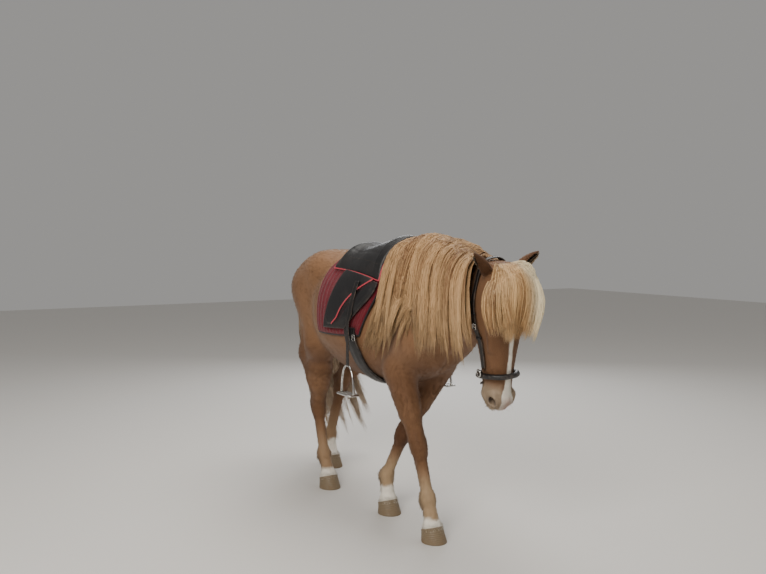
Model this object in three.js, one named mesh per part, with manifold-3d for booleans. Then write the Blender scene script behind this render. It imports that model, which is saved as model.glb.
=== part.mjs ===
// A saddled Icelandic horse at the walk, as a still life-size model.
// Millimetres, +X forward, +Y to the horse's left, +Z up, the floor at Z = 0.
// The flesh is one smooth field of lofts, muscles and joints, which is meshed region by region and
// parted with thin cuts. Hair and tack are laid on that same field, so they follow the body.
import * as THREE from "three";
import { mergeVertices } from "three/addons/utils/BufferGeometryUtils.js";
import Module from "manifold-3d";

const wasm = await Module();
wasm.setup();

// Driving dimensions
const WITHERS_TOP = 1380;
const GAP = 0.3;
const CUT = GAP / 2;
const FORE_CUT_Z = 662;
const HIND_CUT_Z = 722;
const HIND_CUT_X = -295;
const HOOF = {
  half: 60, toe: 68, heel: 56, topHalf: 50, back: 66, topLength: 100, toeHeight: 78, heelHeight: 44,
};
const TORSO_FACES = 1640;
const NECK_FACES = 560;
const HEAD_FACES = 1780;
const FORE_FACES = 500;
const HIND_FACES = 540;
const DOCK_FACES = 140;

// Tack: distances from the coat are to the inner face of each layer
const PAD = { frontTop: 346, frontLow: 200, back: -215, wrap: 107, inner: 9, thick: 9 };
const SADDLE = { pommel: 320, cantle: -150, wrap: 40, inner: 22 };
const FLAP = {
  frontTop: 302, frontLow: 122, backTop: 10, backLow: -60, from: 42, to: 100, inner: 31,
};
const GIRTH = { side: 145, under: 168, width: 78, from: 98.5, inner: 7, overPad: 22 };
const LEATHER = { x: 168, over: 45, width: 28, thick: 4, foot: 790 };
const STIRRUP = { wide: 136, high: 150, bar: 9, deep: 16, tread: 58 };
const HEADSTALL = { width: 25, thick: 5, over: 8 };
const NOSEBAND = { at: -488, radius: 12.5, over: 2.8 };

// Trunk stations from the breast to the buttocks: top line, underline, half width, height of the
// widest point, and how sharp (under 2) or full (over 2) the upper half of the section is.
const TRUNK = [
  { x: 640, top: 1105, bottom: 915, half: 80, wide: 1010, ridge: 2 },
  { x: 590, top: 1190, bottom: 835, half: 135, wide: 995, ridge: 2 },
  { x: 500, top: 1290, bottom: 765, half: 170, wide: 975, ridge: 1.9 },
  { x: 400, top: 1350, bottom: 724, half: 186, wide: 955, ridge: 1.8 },
  { x: 300, top: WITHERS_TOP, bottom: 702, half: 208, wide: 950, ridge: 1.72 },
  { x: 170, top: 1362, bottom: 686, half: 242, wide: 960, ridge: 1.86 },
  { x: 30, top: 1328, bottom: 682, half: 268, wide: 980, ridge: 2.05 },
  { x: -120, top: 1314, bottom: 694, half: 278, wide: 995, ridge: 2.2 },
  { x: -260, top: 1325, bottom: 736, half: 264, wide: 1015, ridge: 2.2 },
  { x: -380, top: 1345, bottom: 790, half: 236, wide: 1040, ridge: 2.3 },
  { x: -500, top: 1347, bottom: 842, half: 215, wide: 1070, ridge: 2.3 },
  { x: -620, top: 1315, bottom: 885, half: 182, wide: 1080, ridge: 2.2 },
  { x: -725, top: 1245, bottom: 950, half: 126, wide: 1090, ridge: 2 },
];

// Neck stations from its root in the trunk to the poll: how far it reaches above and below its
// own axis, and its half width. t is the share of the way.
const NECK_FROM = [300, 0, 1092];
const NECK_TO = [1008, 12, 1196];
const NECK = [
  { t: 0, up: 205, down: 262, half: 100 },
  { t: 0.15, up: 252, down: 266, half: 126 },
  { t: 0.3, up: 276, down: 250, half: 120 },
  { t: 0.47, up: 276, down: 218, half: 105 },
  { t: 0.65, up: 232, down: 178, half: 92 },
  { t: 0.82, up: 158, down: 140, half: 80 },
  { t: 1, up: 94, down: 105, half: 68 },
];

// Head: its own frame has +X out of the forehead, +Y to the left and -Z down the face.
const HEAD_AT = [1012, 8, 1311];
const HEAD_TILT = 7;
const HEAD_ROLL = 4;
const HEAD_YAW = 3;
const HEAD_LENGTH = 636;
const HEAD = [
  { t: 0, front: 32, back: 80, half: 52, brow: 2.2 },
  { t: 0.08, front: 63, back: 112, half: 76, brow: 2.3 },
  { t: 0.18, front: 88, back: 136, half: 95, brow: 2.5 },
  { t: 0.28, front: 94, back: 160, half: 99, brow: 2.8 },
  { t: 0.4, front: 88, back: 170, half: 89, brow: 2.8 },
  { t: 0.5, front: 82, back: 144, half: 77, brow: 2.6 },
  { t: 0.6, front: 76, back: 116, half: 68, brow: 2.4 },
  { t: 0.72, front: 69, back: 92, half: 61, brow: 2.2 },
  { t: 0.84, front: 64, back: 80, half: 57, brow: 2.1 },
  { t: 0.93, front: 60, back: 74, half: 57, brow: 2.1 },
  { t: 1, front: 37, back: 44, half: 44, brow: 2 },
];
const EYE_AT = [50, 91, -178];
const EYE_RADIUS = 20;
const EARS = {
  right: { side: -1, way: [0.06, -0.76, 0.62], opens: [0.85, -0.4, -0.3] },
  left: { side: 1, way: [0.32, 0.78, 0.52], opens: [0.9, 0.1, -0.35] },
};
const EAR_AT = [-4, 60, -46];
const EAR_LENGTH = 146;
const EAR_STUB = 26;

// Legs in the pose of the photograph: right fore reaching forward and across, left fore at the
// end of its stance, right hind under the body, left hind behind it.
const LEGS = {
  right_fore: {
    blade: [350, -82, 1245],
    shoulder: [560, -128, 962],
    elbow: [415, -140, 795],
    knee: [512, -88, 428],
    fetlock: [560, -66, 190],
    hoof: [604, -63, 0],
  },
  left_fore: {
    blade: [340, 82, 1245],
    shoulder: [545, 128, 962],
    elbow: [355, 132, 790],
    knee: [222, 2, 425],
    fetlock: [112, -30, 190],
    hoof: [146, -35, 0],
  },
  right_hind: {
    hip: [-540, -115, 1120],
    stifle: [-390, -164, 835],
    seat: [-700, -80, 1120],
    hock: [-550, -104, 440],
    fetlock: [-470, -104, 178],
    hoof: [-412, -100, 0],
  },
  left_hind: {
    hip: [-560, 115, 1120],
    stifle: [-465, 162, 850],
    seat: [-708, 80, 1120],
    hock: [-748, 143, 500],
    fetlock: [-848, 122, 190],
    hoof: [-806, 117, 0],
  },
};

// Small vector helpers on [x, y, z]
const add = (a, b) => [a[0] + b[0], a[1] + b[1], a[2] + b[2]];
const sub = (a, b) => [a[0] - b[0], a[1] - b[1], a[2] - b[2]];
const scale = (a, s) => [a[0] * s, a[1] * s, a[2] * s];
const dot = (a, b) => a[0] * b[0] + a[1] * b[1] + a[2] * b[2];
const cross = (a, b) => [
  a[1] * b[2] - a[2] * b[1],
  a[2] * b[0] - a[0] * b[2],
  a[0] * b[1] - a[1] * b[0],
];
const length = (a) => Math.hypot(a[0], a[1], a[2]);
const unit = (a) => scale(a, 1 / (length(a) || 1));
const mix = (a, b, t) => add(scale(a, 1 - t), scale(b, t));
const lerp = (a, b, t) => a + (b - a) * t;
const clamp = (v, low, high) => Math.min(high, Math.max(low, v));
const radians = THREE.MathUtils.degToRad;

// A seeded random generator, so that each build gives the same locks
function seeded(seed) {
  let state = seed;
  return () => {
    state = (state * 1664525 + 1013904223) % 4294967296;
    return state / 4294967296;
  };
}

// Field primitives: each takes a point and gives its signed distance, negative inside
function smoothMin(a, b, k) {
  const h = Math.max(k - Math.abs(a - b), 0) / k;
  return Math.min(a, b) - (h * h * k) / 4;
}

const smoothMax = (a, b, k) => -smoothMin(-a, -b, k);

// A rounded cone from a to b. deep stretches its section along the direction "along".
function limb(a, b, ra, rb, blend, deep = 1, along = [1, 0, 0]) {
  const axis = sub(b, a);
  const long2 = dot(axis, axis);
  const w = unit(sub(along, scale(axis, dot(along, axis) / long2)));
  const squeeze = 1 - 1 / deep;
  const at = (p) => {
    const from = sub(p, a);
    const h = clamp(dot(from, axis) / long2, 0, 1);
    const q = sub(from, scale(axis, h));
    const c = dot(q, w) * squeeze;
    return Math.hypot(q[0] - w[0] * c, q[1] - w[1] * c, q[2] - w[2] * c) - lerp(ra, rb, h);
  };
  return { at, blend };
}

// An ellipsoid with its own right-handed axes
function mass(centre, radii, blend, axes = [[1, 0, 0], [0, 1, 0], [0, 0, 1]]) {
  const at = (p) => {
    const q = sub(p, centre);
    const l = axes.map((axis, i) => dot(q, axis) / radii[i]);
    const k0 = Math.hypot(l[0], l[1], l[2]);
    const k1 = Math.hypot(l[0] / radii[0], l[1] / radii[1], l[2] / radii[2]);
    return k1 < 1e-9 ? -Math.min(...radii) : (k0 * (k0 - 1)) / k1;
  };
  return { at, blend };
}

// Stations made smooth: 96 samples of each named value between the first and the last
function smoothStations(stations, key, names) {
  const SAMPLES = 96;
  const first = stations[0][key];
  const last = stations[stations.length - 1][key];
  const table = Array.from({ length: SAMPLES + 1 }, (_, i) => {
    const v = lerp(first, last, i / SAMPLES);
    let s = stations.findIndex((station, n) => n > 0 && (v - station[key]) * (last - first) <= 0);
    if (s < 1) s = stations.length - 1;
    const [b, c] = [stations[s - 1], stations[s]];
    const a = stations[Math.max(0, s - 2)];
    const d = stations[Math.min(stations.length - 1, s + 1)];
    const t = (v - b[key]) / (c[key] - b[key]);
    return names.map((name) => {
      const slopeB = ((c[name] - a[name]) / (c[key] - a[key])) * (c[key] - b[key]);
      const slopeC = ((d[name] - b[name]) / (d[key] - b[key])) * (c[key] - b[key]);
      const h1 = t * t * (3 - 2 * t);
      return (
        lerp(b[name], c[name], h1) + slopeB * (t - 2 * t * t + t ** 3) + slopeC * (t ** 3 - t * t)
      );
    });
  });
  return (v) => {
    const x = clamp((v - first) / (last - first), 0, 1) * SAMPLES;
    const i = Math.min(SAMPLES - 1, Math.floor(x));
    return table[i].map((value, n) => lerp(value, table[i + 1][n], x - i));
  };
}

// The distance of (side, rise) from a section with its own upper and lower radius
function sectionDistance(side, rise, half, up, down, power) {
  const reach = Math.hypot(side, rise);
  if (reach < 1e-6) return -Math.min(half, up, down);
  const n = rise > 0 ? power : 2.1;
  const r = (Math.abs(side) / half) ** n + (Math.abs(rise) / (rise > 0 ? up : down)) ** n;
  return reach - reach / r ** (1 / n);
}

// Closes a loft at its ends: beyond is how far past the nearer end the point lies
function closeEnds(section, beyond) {
  if (beyond <= 0) return Math.max(section, beyond);
  return section > 0 ? Math.hypot(section, beyond) : beyond;
}

const trunkAt = smoothStations(TRUNK, "x", ["top", "bottom", "half", "wide", "ridge"]);

function trunkLoft([x, y, z]) {
  const [top, bottom, half, wide, ridge] = trunkAt(x);
  const section = sectionDistance(y, z - wide, half, top - wide, wide - bottom, ridge);
  return closeEnds(section, Math.max(x - TRUNK[0].x, TRUNK[TRUNK.length - 1].x - x));
}

const neckAt = smoothStations(NECK, "t", ["up", "down", "half"]);
const neckAxis = sub(NECK_TO, NECK_FROM);
const neckLong = length(neckAxis);
const neckWay = unit(neckAxis);
const neckSide = unit(cross([0, 0, 1], neckWay));
const neckUp = cross(neckWay, neckSide);

function neckLoft(p) {
  const q = sub(p, NECK_FROM);
  const t = dot(q, neckWay) / neckLong;
  const [up, down, half] = neckAt(t);
  const section = sectionDistance(dot(q, neckSide), dot(q, neckUp), half, up, down, 1.8);
  return closeEnds(section, Math.max(-t, t - 1) * neckLong);
}

// Head frame
const headMatrix = new THREE.Matrix4()
  .makeTranslation(...HEAD_AT)
  .multiply(new THREE.Matrix4().makeRotationZ(radians(HEAD_YAW)))
  .multiply(new THREE.Matrix4().makeRotationY(radians(HEAD_TILT)))
  .multiply(new THREE.Matrix4().makeRotationX(radians(HEAD_ROLL)));
const h = headMatrix.elements;
const headAxes = [[h[0], h[1], h[2]], [h[4], h[5], h[6]], [h[8], h[9], h[10]]];
const toHead = (p) => {
  const q = sub(p, HEAD_AT);
  return [dot(q, headAxes[0]), dot(q, headAxes[1]), dot(q, headAxes[2])];
};
const fromHead = ([x, y, z]) =>
  add(HEAD_AT, add(add(scale(headAxes[0], x), scale(headAxes[1], y)), scale(headAxes[2], z)));

const headAt = smoothStations(HEAD, "t", ["front", "back", "half", "brow"]);

function headLoft([x, y, z]) {
  const t = -z / HEAD_LENGTH;
  const [front, back, half, brow] = headAt(t);
  const section = sectionDistance(y, x, half, front, back, brow);
  return closeEnds(section, Math.max(-t, t - 1) * HEAD_LENGTH);
}

// The same shape on both sides of the head
const bothSides = (make) => [make(1), make(-1)];
const [eyeX, eyeY, eyeZ] = EYE_AT;
const earRoot = (side) => [EAR_AT[0], EAR_AT[1] * side, EAR_AT[2]];
const headMuscles = [
  ...bothSides((s) => mass([eyeX - 4, (eyeY - 14) * s, eyeZ + 12], [38, 28, 42], 26)),
  ...bothSides((s) => mass([-62, 58 * s, -228], [84, 38, 98], 34)),
  ...bothSides((s) => limb([30, 82 * s, -242], [22, 62 * s, -366], 15, 10, 22)),
  ...bothSides((s) => mass([30, 44 * s, -547], [27, 24, 36], 18)),
  ...Object.values(EARS).map(({ side, way }) =>
    limb(earRoot(side), add(earRoot(side), scale(unit(way), EAR_STUB + 20)), 27, 23, 24),
  ),
  mass([14, 0, -598], [48, 49, 31], 20),
  mass([-50, 0, -584], [30, 40, 31], 20),
];
const headHollows = [
  ...bothSides((s) => limb([44, 78 * s, -564], [22, 50 * s, -548], 12, 9, 8, 1.7, [0, 0, 1])),
  ...bothSides((s) => limb([-18, 74 * s, -530], [-16, 60 * s, -590], 5, 5, 7)),
  limb([-16, 0, -644], [-16, 0, -626], 5, 4, 8, 8, [0, 1, 0]),
  mass([-154, 0, -345], [62, 28, 178], 30),
];
const lids = bothSides((s) => [
  limb([eyeX + 21, (eyeY - 4) * s, eyeZ + 1], [eyeX + 2, (eyeY + 10) * s, eyeZ + 15], 6, 7, 7),
  limb([eyeX + 2, (eyeY + 10) * s, eyeZ + 15], [eyeX - 22, (eyeY + 4) * s, eyeZ + 1], 7, 5, 7),
  limb([eyeX + 21, (eyeY - 4) * s, eyeZ - 2], [eyeX + 1, (eyeY + 7) * s, eyeZ - 16], 4, 5, 7),
  limb([eyeX + 1, (eyeY + 7) * s, eyeZ - 16], [eyeX - 22, (eyeY + 4) * s, eyeZ - 2], 5, 4, 7),
]).flat();

function headField(p) {
  const local = toHead(p);
  let d = headLoft(local);
  for (const part of headMuscles) d = smoothMin(d, part.at(local), part.blend);
  for (const part of headHollows) d = smoothMax(d, -part.at(local), part.blend);
  for (const part of lids) d = smoothMin(d, part.at(local), part.blend);
  return d;
}

// Foreleg: shoulder blade, upper arm, forearm with its muscle, knee, cannon, fetlock and pastern
function foreleg({ blade, shoulder, elbow, knee, fetlock, hoof }) {
  const down = unit(sub(knee, elbow));
  const shin = unit(sub(fetlock, knee));
  const crown = add(hoof, [-14, 0, 66]);
  return [
    limb(blade, shoulder, 48, 66, 80, 1.3, [1, 0, 0.6]),
    limb(shoulder, elbow, 70, 72, 60),
    limb(elbow, mix(elbow, knee, 0.55), 68, 48, 45, 1.15),
    limb(mix(elbow, knee, 0.1), knee, 60, 36, 35, 1.1),
    limb(add(knee, scale(down, -26)), add(knee, scale(shin, 26)), 39, 36, 22, 0.95),
    limb(knee, fetlock, 27, 25, 22, 1.22),
    limb(add(knee, [-18, 0, -60]), add(fetlock, [-18, 0, 10]), 15, 16, 16),
    limb(add(fetlock, scale(shin, -14)), fetlock, 32, 33, 20, 1.08),
    limb(add(fetlock, [-20, 0, -4]), add(fetlock, [-24, 0, -24]), 19, 14, 16),
    limb(fetlock, add(crown, [0, 0, 10]), 28, 38, 22),
    limb(crown, add(hoof, [-4, 0, 40]), 44, 48, 14),
  ];
}

// Hind leg: thigh, buttock, gaskin with its hamstring, hock and its point, cannon and pastern
function hindleg({ hip, stifle, seat, hock, fetlock, hoof }) {
  const point = add(hock, [-52, 0, 60]);
  const shin = unit(sub(fetlock, hock));
  const crown = add(hoof, [-14, 0, 66]);
  const calf = mix(stifle, hock, 0.35);
  return [
    limb(add(hip, [150, 0, 95]), add(hip, [10, 0, 0]), 80, 112, 90),
    limb(hip, stifle, 120, 84, 80),
    limb(seat, add(calf, [-95, 0, 60]), 74, 66, 70),
    limb(seat, add(hip, [0, 0, 40]), 76, 100, 80),
    limb(stifle, mix(stifle, hock, 0.6), 78, 52, 50, 1.15),
    limb(add(calf, [-95, 0, 60]), add(calf, [-60, 0, -60]), 70, 44, 50),
    limb(calf, hock, 62, 36, 40, 1.12),
    limb(add(calf, [-70, 0, -40]), point, 34, 15, 30),
    limb(hock, point, 27, 19, 22),
    limb(add(hock, scale(shin, -34)), add(hock, scale(shin, 34)), 38, 33, 22, 1.18),
    limb(hock, fetlock, 28, 26, 24, 1.2),
    limb(add(hock, [-26, 0, -40]), add(fetlock, [-18, 0, 10]), 17, 16, 18),
    limb(add(fetlock, scale(shin, -14)), fetlock, 32, 33, 20, 1.08),
    limb(add(fetlock, [-20, 0, -4]), add(fetlock, [-24, 0, -24]), 19, 14, 16),
    limb(fetlock, add(crown, [0, 0, 10]), 28, 38, 22),
    limb(crown, add(hoof, [-4, 0, 40]), 44, 48, 14),
  ];
}

const legParts = Object.fromEntries(
  Object.entries(LEGS).map(([name, leg]) => [name, leg.hip ? hindleg(leg) : foreleg(leg)]),
);

// Trunk muscles beyond the loft, and the dock of the tail
const DOCK_FROM = [-680, 0, 1262];
const DOCK_TO = [-880, 22, 1098];
const trunkMuscles = [
  ...bothSides((s) => mass([572, 66 * s, 955], [70, 74, 112], 70)),
  limb([520, 0, 1000], [515, 0, 880], 112, 84, 90),
  ...bothSides((s) => mass([-420, 136 * s, 1236], [125, 90, 82], 90)),
  limb(DOCK_FROM, DOCK_TO, 44, 22, 40),
];

function fold(parts, p, start) {
  let d = start;
  for (const part of parts) d = smoothMin(d, part.at(p), part.blend);
  return d;
}

const bodyField = (p) => {
  let d = smoothMin(trunkLoft(p), neckLoft(p), 90);
  d = fold(trunkMuscles, p, d);
  return d;
};
const legField = (name) => (p) => fold(legParts[name], p, bodyField(p));
const shoulders = [...legParts.left_fore.slice(0, 3), ...legParts.right_fore.slice(0, 3)];
const barrelField = (p) => fold(shoulders, p, bodyField(p));
const foreField = (p) => fold(legParts.left_fore, p, fold(legParts.right_fore, p, bodyField(p)));
const fourLegField = (p) => fold(legParts.left_hind, p, fold(legParts.right_hind, p, foreField(p)));
const neckField = (p) => smoothMin(foreField(p), headField(p), 46);
const flesh = (p) => smoothMin(fourLegField(p), headField(p), 46);

const gradient = (field, p, e = 1.5) =>
  unit([
    field([p[0] + e, p[1], p[2]]) - field([p[0] - e, p[1], p[2]]),
    field([p[0], p[1] + e, p[2]]) - field([p[0], p[1] - e, p[2]]),
    field([p[0], p[1], p[2] + e]) - field([p[0], p[1], p[2] - e]),
  ]);

// Meshes the field inside a box with marching tetrahedra, closed at the walls of the box
function polygonize(field, low, high, cell) {
  const count = low.map((v, i) => Math.ceil((high[i] - v) / cell) + 1);
  const [nx, ny, nz] = count;
  const place = (i, j, k) => [low[0] + i * cell, low[1] + j * cell, low[2] + k * cell];
  const values = new Float64Array(nx * ny * nz);
  const key = (i, j, k) => i + nx * (j + ny * k);
  const BLOCK = 4;
  const FAR = 2.2 * BLOCK * cell;
  const blocks = count.map((n) => Math.ceil(n / BLOCK));
  const coarse = new Float64Array(blocks[0] * blocks[1] * blocks[2]);
  const blockKey = (i, j, k) => i + blocks[0] * (j + blocks[1] * k);
  const half = (BLOCK - 1) / 2;
  for (let k = 0; k < blocks[2]; k++)
    for (let j = 0; j < blocks[1]; j++)
      for (let i = 0; i < blocks[0]; i++) {
        const centre = place(i * BLOCK + half, j * BLOCK + half, k * BLOCK + half);
        coarse[blockKey(i, j, k)] = field(centre);
      }
  for (let k = 0; k < nz; k++)
    for (let j = 0; j < ny; j++)
      for (let i = 0; i < nx; i++) {
        const wall = i === 0 || j === 0 || k === 0 || i === nx - 1 || j === ny - 1 || k === nz - 1;
        const [bi, bj, bk] = [i, j, k].map((n) => Math.floor(n / BLOCK));
        const near = coarse[blockKey(bi, bj, bk)];
        const d = Math.abs(near) > FAR ? near : field(place(i, j, k));
        values[key(i, j, k)] = wall ? Math.max(d, cell * 0.3) : d || 1e-6;
      }
  const positions = [];
  const triangles = [];
  const made = new Map();
  const total = nx * ny * nz;
  const vertexOn = (a, b) => {
    const name = a < b ? a * total + b : b * total + a;
    if (made.has(name)) return made.get(name);
    const t = clamp(values[a] / (values[a] - values[b]), 0.02, 0.98);
    const at = (n) => place(n % nx, Math.floor(n / nx) % ny, Math.floor(n / (nx * ny)));
    positions.push(mix(at(a), at(b), t));
    made.set(name, positions.length - 1);
    return positions.length - 1;
  };
  const emit = (a, b, c, outwards) => {
    const [pa, pb, pc] = [positions[a], positions[b], positions[c]];
    const facing = dot(cross(sub(pb, pa), sub(pc, pa)), outwards);
    triangles.push(facing > 0 ? [a, b, c] : [a, c, b]);
  };
  const TETS = [[0, 1, 3, 7], [0, 3, 2, 7], [0, 2, 6, 7], [0, 6, 4, 7], [0, 4, 5, 7], [0, 5, 1, 7]];
  const mean = (points) => scale(points.reduce(add), 1 / points.length);
  for (let k = 0; k < nz - 1; k++)
    for (let j = 0; j < ny - 1; j++)
      for (let i = 0; i < nx - 1; i++) {
        const corner = [];
        for (let c = 0; c < 8; c++) corner.push(key(i + (c & 1), j + ((c >> 1) & 1), k + (c >> 2)));
        const inside = corner.filter((n) => values[n] < 0).length;
        if (inside === 0 || inside === 8) continue;
        for (const tet of TETS) {
          const ins = tet.filter((c) => values[corner[c]] < 0);
          const outs = tet.filter((c) => values[corner[c]] >= 0);
          if (!ins.length || !outs.length) continue;
          const spot = (c) => [c & 1, (c >> 1) & 1, c >> 2];
          const outwards = sub(mean(outs.map(spot)), mean(ins.map(spot)));
          const on = (a, b) => vertexOn(corner[a], corner[b]);
          if (ins.length === 1)
            emit(on(ins[0], outs[0]), on(ins[0], outs[1]), on(ins[0], outs[2]), outwards);
          else if (outs.length === 1)
            emit(on(ins[0], outs[0]), on(ins[1], outs[0]), on(ins[2], outs[0]), outwards);
          else {
            const [a, b] = [on(ins[0], outs[0]), on(ins[0], outs[1])];
            const [c, d] = [on(ins[1], outs[0]), on(ins[1], outs[1])];
            emit(a, b, d, outwards);
            emit(a, d, c, outwards);
          }
        }
      }
  return { positions, triangles };
}

// Collapses the least noticeable edges, by quadric error, until the mesh has "target" triangles.
// weight says how much the neighbourhood of a point matters.
function simplify({ positions, triangles }, target, weight = () => 1) {
  const faces = triangles.map((t) => [...t]);
  const around = positions.map(() => new Set());
  faces.forEach((face, n) => face.forEach((v) => around[v].add(n)));
  const quadric = positions.map(() => new Float64Array(10));
  for (const [a, b, c] of faces) {
    const [pa, pb, pc] = [positions[a], positions[b], positions[c]];
    const normal = cross(sub(pb, pa), sub(pc, pa));
    const area = length(normal);
    if (area < 1e-9) continue;
    const [x, y, z] = scale(normal, 1 / area);
    const w = -dot([x, y, z], pa);
    const share = area * weight(pa);
    const q = [x * x, x * y, x * z, x * w, y * y, y * z, y * w, z * z, z * w, w * w];
    for (const v of [a, b, c]) for (let i = 0; i < 10; i++) quadric[v][i] += q[i] * share;
  }
  const cost = (q, [x, y, z]) =>
    q[0] * x * x + 2 * q[1] * x * y + 2 * q[2] * x * z + 2 * q[3] * x + q[4] * y * y +
    2 * q[5] * y * z + 2 * q[6] * y + q[7] * z * z + 2 * q[8] * z + q[9];
  const best = (a, b) => {
    const q = quadric[a].map((v, i) => v + quadric[b][i]);
    const m = [[q[0], q[1], q[2]], [q[1], q[4], q[5]], [q[2], q[5], q[7]]];
    const det = dot(m[0], cross(m[1], m[2]));
    const middle = mix(positions[a], positions[b], 0.5);
    const choices = [middle, positions[a], positions[b]];
    const size = Math.max(q[0] + q[4] + q[7], 1e-9);
    if (Math.abs(det) > 1e-3 * size ** 3) {
      const r = [-q[3], -q[6], -q[8]];
      const solve = (i) => {
        const cols = m.map((row, n) => row.map((v, k) => (k === i ? r[n] : v)));
        return dot(cols[0], cross(cols[1], cols[2])) / det;
      };
      const exact = [solve(0), solve(1), solve(2)];
      if (length(sub(exact, middle)) < 2 * length(sub(positions[a], positions[b])))
        choices.push(exact);
    }
    const edge = length(sub(positions[a], positions[b]));
    const priced = choices.map((p) => [Math.max(cost(q, p), 0) + 1e-4 * edge * edge, p]);
    return priced.reduce((one, other) => (other[0] < one[0] ? other : one));
  };
  const heap = [];
  const swap = (i, j) => ([heap[i], heap[j]] = [heap[j], heap[i]]);
  const push = (item) => {
    heap.push(item);
    for (let i = heap.length - 1; i > 0; ) {
      const up = (i - 1) >> 1;
      if (heap[up].price <= heap[i].price) break;
      swap(i, up);
      i = up;
    }
  };
  const pop = () => {
    const top = heap[0];
    const last = heap.pop();
    if (heap.length) {
      heap[0] = last;
      for (let i = 0; ; ) {
        let low = 2 * i + 1;
        if (low >= heap.length) break;
        if (low + 1 < heap.length && heap[low + 1].price < heap[low].price) low++;
        if (heap[i].price <= heap[low].price) break;
        swap(i, low);
        i = low;
      }
    }
    return top;
  };
  const version = new Uint32Array(positions.length);
  const offer = (a, b) => {
    const [price, place] = best(a, b);
    push({ price, place, a, b, va: version[a], vb: version[b] });
  };
  const neighbours = (v) => {
    const set = new Set();
    for (const n of around[v]) for (const u of faces[n]) if (u !== v) set.add(u);
    return set;
  };
  positions.forEach((_, a) => neighbours(a).forEach((b) => a < b && offer(a, b)));
  const normalOf = (face, v, place) => {
    const [a, b, c] = face.map((u) => (u === v ? place : positions[u]));
    return cross(sub(b, a), sub(c, a));
  };
  const flips = (v, other, place) => {
    for (const n of around[v]) {
      if (faces[n].includes(other)) continue;
      const before = normalOf(faces[n], -1, place);
      const after = normalOf(faces[n], v, place);
      if (dot(unit(before), unit(after)) < 0.3 || length(after) < 1e-3) return true;
    }
    return false;
  };
  let alive = faces.length;
  while (alive > target && heap.length) {
    const { place, a, b, va, vb } = pop();
    if (version[a] !== va || version[b] !== vb) continue;
    const [na, nb] = [neighbours(a), neighbours(b)];
    if (!na.has(b)) continue;
    const shared = [...na].filter((v) => nb.has(v));
    if (shared.length !== 2 || flips(a, b, place) || flips(b, a, place)) continue;
    for (const n of [...around[b]]) {
      if (faces[n].includes(a)) {
        faces[n].forEach((v) => around[v].delete(n));
        faces[n] = null;
        alive--;
      } else {
        faces[n] = faces[n].map((v) => (v === b ? a : v));
        around[a].add(n);
      }
    }
    around[b].clear();
    positions[a] = place;
    quadric[a] = quadric[a].map((v, i) => v + quadric[b][i]);
    version[a]++;
    version[b]++;
    neighbours(a).forEach((v) => offer(a, v));
  }
  return { positions, triangles: faces.filter(Boolean) };
}

// Solids
function solidFrom({ positions, triangles }) {
  const index = new Map();
  const vertProperties = [];
  const triVerts = [];
  for (const triangle of triangles)
    for (const v of triangle) {
      if (!index.has(v)) {
        index.set(v, index.size);
        vertProperties.push(...positions[v]);
      }
      triVerts.push(index.get(v));
    }
  return new wasm.Manifold(
    new wasm.Mesh({
      numProp: 3,
      vertProperties: new Float32Array(vertProperties),
      triVerts: new Uint32Array(triVerts),
    }),
  );
}

// A three.js geometry, placed by a matrix, as a solid
function solidOf(geometry, matrix = new THREE.Matrix4()) {
  const plain = geometry.clone();
  plain.deleteAttribute("normal");
  plain.deleteAttribute("uv");
  const merged = mergeVertices(plain.applyMatrix4(matrix), 1e-3);
  return new wasm.Manifold(
    new wasm.Mesh({
      numProp: 3,
      vertProperties: new Float32Array(merged.attributes.position.array),
      triVerts: new Uint32Array(merged.index.array),
    }),
  );
}

// A big box whose face passes through "at" and which lies on the side that "way" points to
function halfSpace(at, way, size = 3000) {
  const z = unit(way);
  const x = unit(Math.abs(z[2]) > 0.9 ? cross([0, 1, 0], z) : cross([0, 0, 1], z));
  const y = cross(z, x);
  const centre = add(at, scale(z, size / 2));
  const matrix = new THREE.Matrix4().makeBasis(
    new THREE.Vector3(...x),
    new THREE.Vector3(...y),
    new THREE.Vector3(...z),
  );
  matrix.setPosition(...centre);
  return solidOf(new THREE.BoxGeometry(size, size, size), matrix);
}

const boxSolid = (low, high) => {
  const size = sub(high, low);
  const centre = mix(low, high, 0.5);
  return solidOf(new THREE.BoxGeometry(...size), new THREE.Matrix4().makeTranslation(...centre));
};

const largest = (solid) =>
  solid.decompose().reduce((one, other) => (other.volume() > one.volume() ? other : one));

// A closed solid whose faces all point out, whichever way round the triangles were listed
function closedSolid(positions, triangles) {
  const solid = solidFrom({ positions, triangles });
  if (solid.volume() > 0) return solid;
  return solidFrom({ positions, triangles: triangles.map(([a, b, c]) => [a, c, b]) });
}

// A closed skin over rings of points, with the first and last ring capped by a fan
function loftRings(rings) {
  const positions = rings.flat();
  const n = rings[0].length;
  const triangles = [];
  for (let r = 0; r < rings.length - 1; r++)
    for (let i = 0; i < n; i++) {
      const [a, b] = [r * n + i, r * n + ((i + 1) % n)];
      triangles.push([a, b, b + n], [a, b + n, a + n]);
    }
  const middle = (ring) => scale(ring.reduce(add), 1 / ring.length);
  positions.push(middle(rings[0]), middle(rings[rings.length - 1]));
  const [start, end] = [positions.length - 2, positions.length - 1];
  const last = (rings.length - 1) * n;
  for (let i = 0; i < n; i++) {
    const next = (i + 1) % n;
    triangles.push([start, next, i], [end, last + i, last + next]);
  }
  return closedSolid(positions, triangles);
}

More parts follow.
